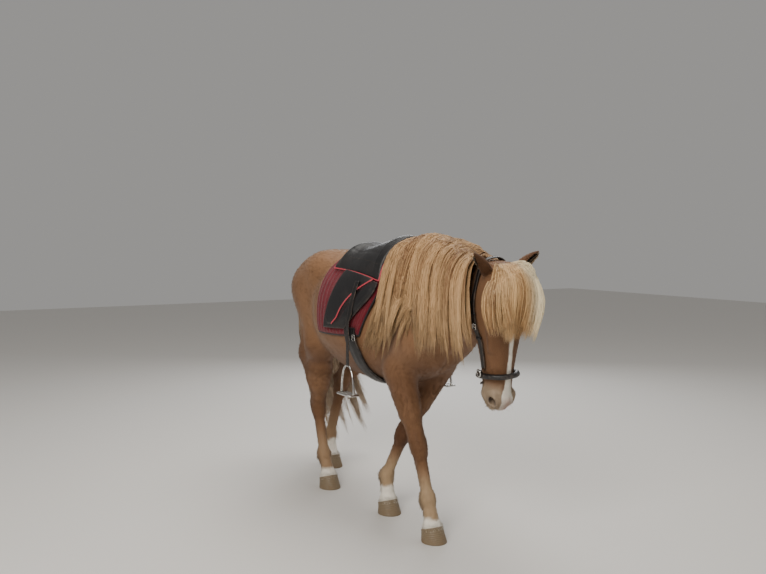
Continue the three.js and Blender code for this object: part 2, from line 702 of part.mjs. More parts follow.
// Parting planes: way points from the node nearer the trunk to the node that grows from it
const NECK_CUT = { at: [350, 0, 1400], way: unit([0.794, 0, 0.608]) };
const HEAD_CUT = { at: [948, 0, 1400], way: unit([0.937, 0, -0.35]) };
const TAIL_CUT = { at: [-786, 0, 1172], way: unit([-1, 0, -0.25]) };
const past = ({ at, way }, size) => halfSpace(sub(at, scale(way, CUT)), way, size);
const before = ({ at, way }, size) => halfSpace(add(at, scale(way, CUT)), scale(way, -1), size);
const coronet = (hoof) => ({
  at: add(hoof, [-HOOF.back, 0, HOOF.heelHeight]),
  way: unit([HOOF.toeHeight - HOOF.heelHeight, 0, -HOOF.topLength]),
});

// A flesh node before its cuts: the field is meshed in a box and thinned out
const fleshSolid = (field, low, high, cell, faces, weight) =>
  solidFrom(simplify(polygonize(field, low, high, cell), faces, weight));

function torso() {
  const solid = fleshSolid(fourLegField, [-800, -330, 640], [700, 330, 1410], 17, TORSO_FACES);
  const parted = solid
    .subtract(past(NECK_CUT))
    .subtract(past(TAIL_CUT, 100))
    .subtract(boxSolid([-60, -400, 500], [800, 400, FORE_CUT_Z + CUT]))
    .subtract(boxSolid([-900, -400, 500], [HIND_CUT_X, 400, HIND_CUT_Z + CUT]));
  return largest(parted);
}

function leg(name) {
  const { hoof, elbow, ...joints } = LEGS[name];
  const cut = elbow ? FORE_CUT_Z : HIND_CUT_Z;
  const chain = [elbow ?? joints.stifle, elbow ? joints.knee : joints.hock, joints.fetlock, hoof];
  const low = [0, 1].map((i) => Math.min(...chain.map((p) => p[i])) - 135);
  const high = [0, 1].map((i) => Math.max(...chain.map((p) => p[i])) + 120);
  const size = [[...low, -20], [...high, cut + 30]];
  const solid = fleshSolid(legField(name), ...size, 9, elbow ? FORE_FACES : HIND_FACES);
  const parted = solid
    .subtract(past({ at: [0, 0, cut], way: [0, 0, 1] }))
    .subtract(past(coronet(hoof), 400));
  return largest(parted);
}

// A hoof about its own ground centre: a sloping wall from the coronet down to a flat sole
function hoof() {
  const SIDES = 14;
  const { half, toe, heel, topHalf, back, topLength, toeHeight, heelHeight } = HOOF;
  const reach = topLength / 2;
  const ring = (rise, inset = 0) =>
    Array.from({ length: SIDES }, (_, i) => {
      const turn = ((i + 0.5) / SIDES) * 2 * Math.PI;
      const [c, s] = [Math.cos(turn), Math.sin(turn)];
      const x = (reach - inset) * c + reach - back;
      const height = lerp(heelHeight, toeHeight, (x + back) / topLength) - GAP;
      const top = [x, (topHalf - inset) * s, height];
      const foot = [((c > 0 ? toe : heel) - inset) * c, (half - inset) * s, 0];
      return mix(foot, top, rise);
    });
  return loftRings([ring(0, 3), ring(0.06), ring(0.5), ring(1)]);
}

// A direction of the head frame in body coordinates
const toWorldWay = (way) => unit(sub(fromHead(way), HEAD_AT));

// Ear: a cup of crescent sections, rolled almost shut at its base and open along its side
function earFrame({ side, way, opens }) {
  const up = toWorldWay(way);
  const wide = toWorldWay(opens);
  const front = unit(sub(wide, scale(up, dot(wide, up))));
  const root = fromHead(earRoot(side));
  return { up, front, across: cross(up, front), foot: add(root, scale(up, EAR_STUB)), root };
}

const EAR = [
  { t: 0, radius: 22, wall: 20, gap: 16 },
  { t: 0.1, radius: 24, wall: 18, gap: 34 },
  { t: 0.2, radius: 28, wall: 5.5, gap: 52 },
  { t: 0.42, radius: 29, wall: 4.5, gap: 70 },
  { t: 0.66, radius: 23, wall: 4, gap: 84 },
  { t: 0.86, radius: 13, wall: 3.2, gap: 98 },
  { t: 0.97, radius: 4, wall: 2, gap: 110 },
];

function ear(spec) {
  const { up, front, across, foot } = earFrame(spec);
  const STEPS = 6;
  const long = EAR_LENGTH - EAR_STUB;
  const rings = EAR.map(({ t, radius, wall, gap }) => {
    const bend = -10 * t * t;
    const centre = add(add(foot, scale(up, GAP + long * t)), scale(front, bend));
    const arc = (r, from, to) =>
      Array.from({ length: STEPS + 1 }, (_, i) => {
        const turn = radians(lerp(from, to, i / STEPS));
        const out = add(scale(front, Math.cos(turn)), scale(across, 0.86 * Math.sin(turn)));
        return add(centre, scale(out, r));
      });
    return [...arc(radius, gap, 360 - gap), ...arc(radius - wall, 360 - gap, gap)];
  });
  return loftRings(rings);
}

const eyeBall = (radius) => new THREE.SphereGeometry(radius, 12, 8);
const eyeMatrix = (side) =>
  new THREE.Matrix4().makeTranslation(...fromHead([eyeX, eyeY * side, eyeZ]));

function headFlesh() {
  const near = (p, spot, reach) => length(sub(toHead(p), spot)) < reach;
  const fine = (p) => {
    const side = toHead(p)[1] > 0 ? 1 : -1;
    if (near(p, [eyeX, eyeY * side, eyeZ], 42)) return 6;
    if (near(p, [20, 40 * side, -575], 70)) return 4;
    return 1;
  };
  let solid = fleshSolid(neckField, [826, -150, 650], [1150, 170, 1350], 7, HEAD_FACES, fine);
  solid = solid.subtract(before(HEAD_CUT));
  for (const side of [1, -1])
    solid = solid.subtract(solidOf(eyeBall(EYE_RADIUS + GAP), eyeMatrix(side)));
  for (const spec of Object.values(EARS)) {
    const { up, foot } = earFrame(spec);
    solid = solid.subtract(halfSpace(foot, up, 96));
  }
  return largest(solid);
}

// Where a ray from a point outside first meets a field
function hit(field, from, way) {
  let reach = 0;
  for (let n = 0; n < 90; n++) {
    const d = field(add(from, scale(way, reach)));
    if (d < 0.2) break;
    reach += d * 0.55;
  }
  const point = add(from, scale(way, reach));
  return { point, normal: gradient(field, point) };
}
const lift = ({ point, normal }, height) => add(point, scale(normal, height));

// Hair: a lock leaves its root along way, bends towards its fall and keeps clear of the body
const earBody = Object.values(EARS).map((spec) => {
  const { up, root } = earFrame(spec);
  return limb(root, add(root, scale(up, EAR_LENGTH)), 34, 22, 1);
});
const coatField = (p) => Math.min(flesh(p), ...earBody.map((part) => part.at(p)));

function drape({ root, way, long, pull, fall, clear, floor = 0 }) {
  const STEPS = 21;
  const path = [{ point: root, normal: gradient(coatField, root) }];
  let heading = unit(way);
  for (let i = 1; i <= STEPS; i++) {
    const t = i / STEPS;
    const at = path[i - 1].point;
    heading = unit(add(heading, scale(fall(t, at), pull)));
    let next = add(at, scale(heading, long / STEPS));
    for (let n = 0; n < 2; n++) {
      const short = clear(t, next) - coatField(next);
      if (short > 0) next = add(next, scale(gradient(coatField, next, 4), short));
    }
    next[2] = Math.max(next[2], floor);
    heading = unit(sub(next, at));
    path.push({ point: next, normal: gradient(coatField, next, 4) });
  }
  return path;
}

// A flat, tapered lock along a draped path: sections of four points, and a pointed tip
function lock(path, { width, thick, sink, root: narrow }) {
  const STRETCHES = 5;
  const last = path.length - 1;
  const at = (t) => path[Math.round(t * last)];
  const positions = [];
  const triangles = [];
  const root = path[0];
  for (let k = 0; k < STRETCHES; k++) {
    const t = k / STRETCHES;
    const { point, normal } = at(t);
    const ahead = sub(at(Math.min(1, t + 0.06)).point, at(Math.max(0, t - 0.06)).point);
    const side = unit(cross(ahead, normal));
    const out = unit(cross(side, ahead));
    const centre = k === 0 ? sub(root.point, scale(root.normal, sink)) : point;
    const spread = width * lerp(narrow, 1, Math.min(1, 2.5 * t)) * (1 - 0.75 * t ** 3);
    const deep = thick * (1 - 0.5 * t);
    positions.push(
      add(centre, scale(side, spread / 2)),
      add(centre, scale(out, deep / 2)),
      add(centre, scale(side, -spread / 2)),
      add(centre, scale(out, -deep / 2)),
    );
  }
  positions.push(path[last].point);
  for (let k = 0; k < STRETCHES; k++)
    for (let i = 0; i < 4; i++) {
      const [a, b] = [k * 4 + i, k * 4 + ((i + 1) % 4)];
      if (k === STRETCHES - 1) triangles.push([a, b, positions.length - 1]);
      else triangles.push([a, b, b + 4], [a, b + 4, a + 4]);
    }
  triangles.push([0, 2, 1], [0, 3, 2]);
  return closedSolid(positions, triangles);
}

const fuse = (solid, pieces) => largest(wasm.Manifold.union([solid, ...pieces]));

// Mane: layers of locks along the crest, each layer over the last, most of them on the right side
const MANE = { from: 412, to: 893, long: 640, width: 63, thick: 9, root: 0.58 };
const maneLayers = [
  { count: 8, shift: 0.2, side: -1, start: -16, height: 7, long: 1.04 },
  { count: 8, shift: 0.53, side: -1, start: -4, height: 22, long: 0.97 },
  { count: 7, shift: 0.8, side: -1, start: 8, height: 37, long: 0.88 },
  { count: 5, shift: 0.5, side: 1, start: 20, height: 9, long: 0.5 },
];
const padFront = (z) => lerp(PAD.frontLow, PAD.frontTop, clamp((z - 930) / 420, 0, 1));

function manePaths({ count, shift, side, start, height, long }, random) {
  return Array.from({ length: count }, (_, i) => {
    const share = (i + shift + 0.2 * (random() - 0.5)) / count;
    const x = lerp(MANE.from, MANE.to, share);
    const root = hit(flesh, [x, lerp(0, 8, share) + start, 1600], [0, 0, -1]).point;
    const drift = 0.06 - 0.46 * (1 - share) ** 3 + 0.04 * (random() - 0.5);
    const overPad = (px, pz) => clamp((padFront(pz) + 50 - px) / 50, 0, 1);
    return drape({
      root,
      way: [0, side * 0.5, 0.75],
      long: MANE.long * long * (0.93 + 0.14 * random()) * lerp(1, 0.84, share),
      pull: 0.42,
      fall: (t) => [drift * (0.1 + 1.6 * t), 0, -1],
      clear: (t, [px, , pz]) => 4 + height * Math.min(1, t * 4) + 38 * overPad(px, pz),
    });
  });
}

function maneLocks() {
  const random = seeded(19);
  const paths = maneLayers.flatMap((layer) => manePaths(layer, random));
  return paths.map((path) => {
    const width = MANE.width * (0.92 + 0.16 * random());
    return lock(path, { width, thick: MANE.thick, sink: 16, root: MANE.root });
  });
}

function neck() {
  const solid = fleshSolid(neckField, [335, -195, 930], [1010, 195, 1430], 14, NECK_FACES);
  const bare = largest(solid.subtract(before(NECK_CUT)).subtract(past(HEAD_CUT)));
  return fuse(bare, maneLocks());
}

// Forelock: locks that spread from the poll and fall over the forehead and the eyes
const FORELOCK = { long: 330, width: 60, thick: 8, root: 0.22, sink: 14 };
const forelockLayers = [
  { count: 6, spread: 72, height: 15, long: 1 },
  { count: 5, spread: 62, height: 28, long: 0.97 },
  { count: 4, spread: 50, height: 41, long: 0.92 },
];

function forelockPaths({ count, spread, height, long }, layer, random) {
  return Array.from({ length: count }, (_, i) => {
    const share = (2 * i) / (count - 1) - 1;
    const turn = radians(share * spread);
    const above = fromHead([20 + 9 * layer, share * 44, 80]);
    const out = toWorldWay([Math.cos(turn), Math.sin(turn), 0]);
    return drape({
      root: hit(flesh, above, [0, 0, -1]).point,
      way: toWorldWay([Math.cos(turn), Math.sin(turn), 0.5]),
      long: FORELOCK.long * long * (0.93 + 0.14 * random()),
      pull: 0.42,
      fall: (t) => add([0, 0, -1], scale(out, t < 0.4 ? 0.04 : -0.3)),
      clear: (t) => 8 + height * Math.sin(Math.PI * clamp(0.12 + t * 0.8, 0, 1)),
    });
  });
}

function forelockLocks() {
  const random = seeded(11);
  const paths = forelockLayers.flatMap((layer, n) => forelockPaths(layer, n, random));
  return paths.map((path) => lock(path, FORELOCK));
}

const head = () => fuse(headFlesh(), forelockLocks());

// Tail: the dock with locks all round it, falling and swinging out to the left
const TAIL = { count: 14, long: 1040, width: 62, thick: 15, root: 0.3, sink: 10, swing: 0.48 };

function tailPaths(random) {
  return Array.from({ length: TAIL.count }, (_, i) => {
    const along = 0.74 + 0.22 * ((i * 0.618) % 1);
    const turn = (i / TAIL.count) * 2 * Math.PI;
    const spine = mix(DOCK_FROM, DOCK_TO, along);
    const out = unit([0.55 * Math.cos(turn), Math.sin(turn), 0.75 * Math.cos(turn)]);
    const { point } = hit(bodyField, add(spine, scale(out, 60)), scale(out, -1));
    const swing = TAIL.swing * (0.8 + 0.2 * Math.sin(turn) + 0.45 * random());
    return drape({
      root: point,
      way: add(scale(out, 0.6), [-0.6, 0.1, -0.7]),
      long: TAIL.long * (0.82 + 0.22 * random()),
      pull: 0.4,
      fall: (t) => [-0.06 + 0.08 * t, swing * (0.5 + 0.6 * t), -1],
      clear: (t) => 7 + 14 * Math.min(1, 3 * t),
      floor: 60,
    });
  });
}

function tail() {
  const solid = fleshSolid(bodyField, [-930, -60, 1030], [-765, 100, 1240], 9, DOCK_FACES);
  const dock = largest(solid.subtract(before(TAIL_CUT)));
  const locks = tailPaths(seeded(5)).map((path) => lock(path, TAIL));
  return largest(fuse(dock, locks).subtract(before(TAIL_CUT, 120)));
}

// Tack. A sheet lies over the field between two heights, on a grid of rays cast at it.
function sheet(rows, columns, spot, inner, outer) {
  const positions = [];
  const triangles = [];
  const spots = [];
  for (let i = 0; i <= rows; i++)
    for (let j = 0; j <= columns; j++) spots.push([spot(i / rows, j / columns), i / rows, j / columns]);
  for (const height of [inner, outer])
    for (const [at, u, v] of spots) positions.push(lift(at, height(u, v)));
  const n = spots.length;
  const quad = (a, b, c, d) => triangles.push([a, b, c], [a, c, d]);
  const id = (i, j) => i * (columns + 1) + j;
  for (let i = 0; i < rows; i++)
    for (let j = 0; j < columns; j++) {
      const [a, b, c, d] = [id(i, j), id(i + 1, j), id(i + 1, j + 1), id(i, j + 1)];
      quad(a + n, b + n, c + n, d + n);
      triangles.push([a, c, b], [a, d, c]);
    }
  const rim = [
    ...Array.from({ length: rows }, (_, i) => id(i, 0)),
    ...Array.from({ length: columns }, (_, j) => id(rows, j)),
    ...Array.from({ length: rows }, (_, i) => id(rows - i, columns)),
    ...Array.from({ length: columns }, (_, j) => id(0, columns - j)),
  ];
  rim.forEach((a, i) => {
    const b = rim[(i + 1) % rim.length];
    quad(a, b, b + n, a + n);
  });
  return closedSolid(positions, triangles);
}

// A strap: a flat band of rectangular sections along a line of spots
function strap(spots, width, thick, acrossAt) {
  const rings = spots.map(({ point, normal }, i) => {
    const ahead = sub(spots[Math.min(spots.length - 1, i + 1)].point, spots[Math.max(0, i - 1)].point);
    const across = acrossAt ?? unit(cross(ahead, normal));
    const [a, b] = [scale(across, width / 2), scale(normal, thick)];
    return [sub(point, a), add(point, a), add(add(point, a), b), add(sub(point, a), b)];
  });
  return loftRings(rings);
}

const TRUNK_AXIS = 1010;
function roundTrunk(x, degrees) {
  const way = [0, Math.sin(radians(degrees)), Math.cos(radians(degrees))];
  return hit(barrelField, add([x, 0, TRUNK_AXIS], scale(way, 450)), scale(way, -1));
}
const rounded = (u, v, sharp = 8) => clamp(Math.min(u, 1 - u, v, 1 - v) * sharp, 0, 1);

function saddlePad() {
  const spot = (u, v) => {
    const turn = 2 * v - 1;
    const front = lerp(PAD.frontTop, PAD.frontLow, Math.abs(turn) ** 1.3);
    return roundTrunk(lerp(front, lerp(PAD.back, PAD.back + 40, Math.abs(turn)), u), PAD.wrap * turn);
  };
  const inner = () => PAD.inner;
  return sheet(9, 18, spot, inner, (u, v) => PAD.inner + 4 + (PAD.thick - 4) * rounded(u, v));
}

// The seat rises to the pommel in front and to the cantle behind
function seatRise(u, turn) {
  const pommel = 14 * Math.exp(-((u / 0.16) ** 2));
  const cantle = 36 * Math.exp(-(((u - 0.88) / 0.13) ** 2));
  return 22 + pommel + cantle + 16 * (1 - u) * Math.sin(Math.PI * Math.abs(turn)) ** 2;
}

function saddle() {
  const spot = (u, v) => {
    const turn = 2 * v - 1;
    const front = SADDLE.pommel - 18 * Math.abs(turn);
    return roundTrunk(lerp(front, SADDLE.cantle + 30 * turn * turn, u), SADDLE.wrap * turn);
  };
  const inner = () => SADDLE.inner;
  const outer = (u, v) => {
    const turn = 2 * v - 1;
    const shape = (1 - turn * turn) ** 0.7 * (0.45 + 0.55 * rounded(u, 0.5, 7));
    return SADDLE.inner + 8 + (seatRise(u, turn) - 8) * shape;
  };
  return sheet(11, 10, spot, inner, outer);
}

function flap(side) {
  const spot = (u, v) => {
    const front = lerp(FLAP.frontTop, FLAP.frontLow, v ** 1.4);
    const x = lerp(front, lerp(FLAP.backTop, FLAP.backLow, v), u);
    return roundTrunk(x, side * lerp(FLAP.from, FLAP.to, v));
  };
  return sheet(5, 7, spot, () => FLAP.inner, (u, v) => FLAP.inner + 3 + 3 * rounded(u, v));
}

function girth() {
  const turned = (v) => lerp(GIRTH.from, 360 - GIRTH.from, v);
  const deep = (v) => clamp((Math.min(v, 1 - v) * (360 - 2 * GIRTH.from) - 14) / 12, 0, 1);
  const inner = (u, v) => lerp(GIRTH.overPad, GIRTH.inner, deep(v));
  const spot = (u, v) => {
    const x = lerp(GIRTH.side, GIRTH.under, Math.sin(Math.PI * v));
    return roundTrunk(x + GIRTH.width * (0.5 - u), turned(v));
  };
  return sheet(2, 18, spot, inner, (u, v) => inner(u, v) + lerp(4, 9, deep(v)));
}

// A flat frame with a bar: the buckles of girth and bridle
function buckle(wide, high, wire) {
  const shape = new THREE.Shape();
  const hole = new THREE.Path();
  const [a, b] = [wide / 2, high / 2];
  const rectangle = (path, x, y) => path.moveTo(-x, -y).lineTo(x, -y).lineTo(x, y).lineTo(-x, y);
  rectangle(shape, a, b);
  rectangle(hole, a - wire, b - wire);
  shape.holes.push(hole);
  return new THREE.ExtrudeGeometry(shape, { depth: wire * 0.8, bevelEnabled: false });
}

// Stirrup iron about the middle of its top bar: an arch with a broad tread
function stirrup() {
  const { wide, high, bar, deep, tread } = STIRRUP;
  const outline = (path, half, top, foot) =>
    path
      .moveTo(-half, -foot)
      .lineTo(half, -foot)
      .bezierCurveTo(half, -foot * 0.42, half * 0.72, -top - 12, 20, -top)
      .lineTo(-20, -top)
      .bezierCurveTo(-half * 0.72, -top - 12, -half, -foot * 0.42, -half, -foot);
  const shape = outline(new THREE.Shape(), wide / 2, 0, high);
  shape.holes.push(outline(new THREE.Path(), wide / 2 - bar, bar, high - bar));
  const settings = { depth: deep, bevelEnabled: false, curveSegments: 5 };
  const arch = new THREE.ExtrudeGeometry(shape, settings);
  const upright = new THREE.Matrix4()
    .makeTranslation(0, deep / 2, 0)
    .multiply(new THREE.Matrix4().makeRotationX(Math.PI / 2));
  const foot = boxSolid([-wide / 2 + 3, -tread / 2, -high], [wide / 2 - 3, tread / 2, -high + bar]);
  return solidOf(arch, upright).add(foot);
}

// The leather lies over the flap, then hangs straight down from the widest point of the barrel
function leatherSpots(side) {
  const spots = [48, 60, 72, 84, 92].map((degrees) => {
    const at = roundTrunk(LEATHER.x, side * degrees);
    return { point: lift(at, LEATHER.over), normal: at.normal };
  });
  const out = Math.max(...spots.map(({ point }) => Math.abs(point[1])));
  const falling = spots.filter(({ point }) => Math.abs(point[1]) < out - 0.5);
  const top = 1000;
  const hang = [top, (top + LEATHER.foot) / 2, LEATHER.foot].map((z) => ({
    point: [LEATHER.x, side * (out + 1), z],
    normal: [0, side, 0],
  }));
  const lowest = falling.filter(({ point }) => point[2] > top + 20);
  return [...lowest, ...hang];
}

// Bridle: spots round the head by the angle from the middle of the face
function roundHead(z, degrees) {
  const out = [Math.cos(radians(degrees)), Math.sin(radians(degrees)), 0];
  const from = fromHead(add([-15, 0, z], scale(out, 230)));
  return hit(headField, from, sub(HEAD_AT, fromHead(out)));
}

function overPoll(degrees) {
  const out = [-0.3, Math.sin(radians(degrees)), Math.cos(radians(degrees))];
  const from = fromHead(add([-34, 0, -80], scale(unit(out), 240)));
  return hit(neckField, from, sub(HEAD_AT, fromHead(unit(out))));
}

const cheekAngle = (z) => 116 - 24 * clamp((z + 90) / -360, 0, 1);
function headstallSpots() {
  const cheek = [-455, -395, -330, -265, -200, -150, -110];
  const poll = [-64, -48, -32, -16, 0, 16, 32, 48, 64];
  const lifted = (at) => ({ ...at, point: lift(at, HEADSTALL.over) });
  return [
    ...cheek.map((z) => lifted(roundHead(z, -cheekAngle(z)))),
    ...poll.map((degrees) => lifted(overPoll(degrees))),
    ...cheek.reverse().map((z) => lifted(roundHead(z, cheekAngle(z)))),
  ];
}

// A closed or open round band through a line of points
function roundBand(points, radius, closed) {
  const SIDES = 6;
  const n = points.length;
  const middle = scale(points.reduce(add), 1 / n);
  const rings = points.map((point, i) => {
    const next = points[closed ? (i + 1) % n : Math.min(n - 1, i + 1)];
    const last = points[closed ? (i + n - 1) % n : Math.max(0, i - 1)];
    const ahead = unit(sub(next, last));
    const out = unit(sub(sub(point, middle), scale(ahead, dot(sub(point, middle), ahead))));
    const side = cross(ahead, out);
    return Array.from({ length: SIDES }, (_, k) => {
      const turn = (k / SIDES) * 2 * Math.PI;
      const round = add(scale(out, Math.cos(turn)), scale(side, Math.sin(turn)));
      return add(point, scale(round, radius));
    });
  });
  if (!closed) return loftRings(rings);
  const positions = rings.flat();
  const triangles = [];
  for (let r = 0; r < n; r++)
    for (let k = 0; k < SIDES; k++) {
      const [a, b] = [r * SIDES + k, r * SIDES + ((k + 1) % SIDES)];
      const [c, d] = [((r + 1) % n) * SIDES + ((k + 1) % SIDES), ((r + 1) % n) * SIDES + k];
      triangles.push([a, b, c], [a, c, d]);
    }
  return closedSolid(positions, triangles);
}

function noseband() {
  const STEPS = 20;
  const points = Array.from({ length: STEPS }, (_, i) => {
    const degrees = (i / STEPS) * 360;
    const slant = 14 * Math.cos(radians(degrees));
    return lift(roundHead(NOSEBAND.at + slant, degrees), NOSEBAND.radius + NOSEBAND.over);
  });
  return roundBand(points, NOSEBAND.radius, true);
}

function chinStrap() {
  const points = [106, 125, 145, 163, 180, 197, 215, 235, 254].map((degrees) => {
    const drop = -26 - 34 * Math.sin(radians(degrees - 90));
    return lift(roundHead(NOSEBAND.at + drop, degrees), 7);
  });
  return roundBand(points, 4.5, false);
}

// Materials, by the name of what they cover
const finish = (color, roughness, metalness = 0) =>
  new THREE.MeshStandardMaterial({ color, roughness, metalness });
const looks = {
  coat: finish(0x9c6a45, 0.75),
  dark: finish(0x7d5138, 0.75),
  hair: finish(0xcdb286, 0.7),
  hoof: finish(0xb3a898, 0.6),
  eye: finish(0x1a120d, 0.12),
  leather: finish(0x17161a, 0.5),
  padding: finish(0x7a2a33, 0.9),
  steel: finish(0xc9ccd0, 0.22, 1),
};

function meshOf(name, solid, look) {
  const { vertProperties, triVerts } = solid.getMesh();
  const geometry = new THREE.BufferGeometry();
  geometry.setAttribute("position", new THREE.BufferAttribute(new Float32Array(vertProperties), 3));
  geometry.setIndex(new THREE.BufferAttribute(new Uint32Array(triVerts), 1));
  geometry.computeVertexNormals();
  const mesh = new THREE.Mesh(geometry, look);
  mesh.name = name;
  return mesh;
}

function named(name, geometry, look) {
  const mesh = new THREE.Mesh(geometry, look);
  mesh.name = name;
  return mesh;
}

// Sets a piece on a spot of the body, its own Z along the normal and its own Y towards "up"
function placed(mesh, { point, normal }, height, up) {
  const z = normal;
  const x = unit(cross(up, z));
  const y = cross(z, x);
  const basis = new THREE.Matrix4().makeBasis(
    new THREE.Vector3(...x),
    new THREE.Vector3(...y),
    new THREE.Vector3(...z),
  );
  mesh.quaternion.setFromRotationMatrix(basis);
  mesh.position.set(...lift({ point, normal }, height));
  return mesh;
}

const horse = new THREE.Group();
const body = new THREE.Group();
const tack = new THREE.Group();
horse.add(body, tack);

body.add(
  meshOf("torso", torso(), looks.coat),
  meshOf("neck", neck(), looks.hair),
  meshOf("head", head(), looks.coat),
  meshOf("tail", tail(), looks.hair),
);
for (const [side, spec] of Object.entries(EARS)) body.add(meshOf(`${side}_ear`, ear(spec), looks.dark));
for (const [side, sign] of [["right", -1], ["left", 1]]) {
  const eye = named(`${side}_eye`, eyeBall(EYE_RADIUS), looks.eye);
  eye.position.setFromMatrixPosition(eyeMatrix(sign));
  body.add(eye);
}
for (const [name, { hoof: ground }] of Object.entries(LEGS)) {
  body.add(meshOf(`${name}_leg`, leg(name), looks.coat));
  const horn = meshOf(`${name}_hoof`, hoof(), looks.hoof);
  horn.position.set(...ground);
  body.add(horn);
}

tack.add(
  meshOf("saddle_pad", saddlePad(), looks.padding),
  meshOf("saddle", saddle(), looks.leather),
  meshOf("girth", girth(), looks.leather),
  meshOf("headstall", strap(headstallSpots(), HEADSTALL.width, HEADSTALL.thick), looks.leather),
  meshOf("noseband", noseband(), looks.leather),
  meshOf("chin_strap", chinStrap(), looks.leather),
);
for (const [side, sign] of [["right", -1], ["left", 1]]) {
  const spots = leatherSpots(sign);
  const { width, thick, foot, x } = LEATHER;
  tack.add(meshOf(`${side}_flap`, flap(sign), looks.leather));
  tack.add(meshOf(`${side}_stirrup_leather`, strap(spots, width, thick, [1, 0, 0]), looks.leather));
  const iron = meshOf(`${side}_stirrup`, stirrup(), looks.steel);
  iron.position.set(x, spots[spots.length - 1].point[1] + (sign * thick) / 2, foot - GAP);
  tack.add(iron);
  for (const [place, offset] of [["front", 20], ["back", -20]]) {
    const frame = named(`${side}_girth_buckle_${place}`, buckle(26, 34, 4), looks.steel);
    tack.add(placed(frame, roundTrunk(GIRTH.side + 16 + offset, sign * 109), 27, [0, 0, 1]));
  }
  const ring = named(`${side}_bridle_ring`, new THREE.TorusGeometry(15, 3, 5, 14), looks.steel);
  tack.add(placed(ring, roundHead(NOSEBAND.at + 14, sign * 96), 31, headAxes[2]));
  const clasp = named(`${side}_cheek_buckle`, buckle(24, 30, 4), looks.steel);
  tack.add(placed(clasp, roundHead(-268, sign * cheekAngle(-268)), 14, headAxes[2]));
}

// The finished part stands with the middle of its bounding box's base at the origin
const bounds = new THREE.Box3().setFromObject(horse);
const centre = bounds.getCenter(new THREE.Vector3());
horse.position.set(-centre.x, -centre.y, -bounds.min.z);

export default horse;
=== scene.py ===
# %% [markdown]
# # A saddled Icelandic horse, life size
#
# The real thing is a small, sturdy horse at the walk: light chestnut coat, flaxen mane, forelock
# and tail, narrow blaze, pale hooves, black tack with a maroon pad under the saddle. The CAD model
# gives every solid its place. This lesson loads it as a fixed frame and builds the surface of each
# piece over it: a seamless skin, short tufts of coat, long hair, eyes, hooves, leather and steel.
# A body could be sculpted by hand. Here it is grown from one smooth field of measured muscles and
# joints, because the same few sizes then carry the skin, the hair and the straps.

# %% Load the frame
import math
import time

import bmesh
import bpy
import numpy as np
from mathutils import Matrix, Vector


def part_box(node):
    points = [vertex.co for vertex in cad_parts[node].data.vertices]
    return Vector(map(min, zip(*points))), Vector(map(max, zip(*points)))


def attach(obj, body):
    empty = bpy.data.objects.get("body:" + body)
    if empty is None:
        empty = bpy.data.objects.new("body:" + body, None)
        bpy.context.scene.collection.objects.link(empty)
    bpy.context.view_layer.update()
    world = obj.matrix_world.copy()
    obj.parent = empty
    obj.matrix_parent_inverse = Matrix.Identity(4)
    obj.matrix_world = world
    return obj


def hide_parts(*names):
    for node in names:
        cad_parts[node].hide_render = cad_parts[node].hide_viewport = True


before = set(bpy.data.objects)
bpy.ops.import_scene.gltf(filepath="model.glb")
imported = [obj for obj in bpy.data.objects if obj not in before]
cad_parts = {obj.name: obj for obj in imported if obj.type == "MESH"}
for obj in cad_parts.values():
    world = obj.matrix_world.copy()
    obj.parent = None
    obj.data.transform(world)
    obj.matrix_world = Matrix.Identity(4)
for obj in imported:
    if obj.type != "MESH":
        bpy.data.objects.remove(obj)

STARTED = time.time()
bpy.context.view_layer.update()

# %% [markdown]
# ## Camera and light
#
# The photograph was taken from the horse's right front, at about head height, from some four and a
# half metres. The camera stands there again. Everything below is worked out in millimetres in the
# horse's own coordinates, and SHIFT moves them onto the frame. The right eye gives that shift,
# because its ball has one clear centre.

# %% Where the head is, and the shift between body coordinates and the frame
HEAD_AT = np.array([1012.0, 8.0, 1311.0])
HEAD_TILT, HEAD_ROLL, HEAD_YAW = 7, 4, 3
HEAD_LENGTH = 636
EYE_AT = (50, 91, -178)
EYE_RADIUS = 20
SIDES = (("right", -1), ("left", 1))

head_turn = (
    Matrix.Rotation(math.radians(HEAD_YAW), 3, "Z")
    @ Matrix.Rotation(math.radians(HEAD_TILT), 3, "Y")
    @ Matrix.Rotation(math.radians(HEAD_ROLL), 3, "X")
)
HEAD_AXES = np.array(head_turn).T


def to_head(points):
    return (np.asarray(points, float) - HEAD_AT) @ HEAD_AXES.T


def from_head(points):
    return np.asarray(points, float) @ HEAD_AXES + HEAD_AT


eye_low, eye_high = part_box("right_eye")
eye_centre = np.array((eye_low + eye_high) / 2) * 1000
SHIFT = eye_centre - from_head([EYE_AT[0], -EYE_AT[1], EYE_AT[2]])
SHIFT[2] = 0
print("shift to the frame, mm", SHIFT.round(2))


def placed(points):
    """Body millimetres to frame metres."""
    return (np.asarray(points, float) + SHIFT) / 1000


# %% Camera
PHOTO_WIDTH, PHOTO_FOCAL = 766, 850
SENSOR = 36
CAMERA_FROM = (3860, -2217, 1420)
CAMERA_PITCH, CAMERA_YAW = 3.37, 60


def new_object(name, data):
    made = bpy.data.objects.new(name, data)
    bpy.context.scene.collection.objects.link(made)
    return made


camera = new_object("camera", bpy.data.cameras.new("camera"))
camera.data.sensor_width = SENSOR
camera.data.lens = SENSOR * PHOTO_FOCAL / PHOTO_WIDTH
camera.location = placed(CAMERA_FROM)
camera.rotation_euler = (math.radians(90 - CAMERA_PITCH), 0, math.radians(CAMERA_YAW))
camera.data.clip_end = 60
bpy.context.scene.camera = camera
print("lens, mm", round(camera.data.lens, 2))


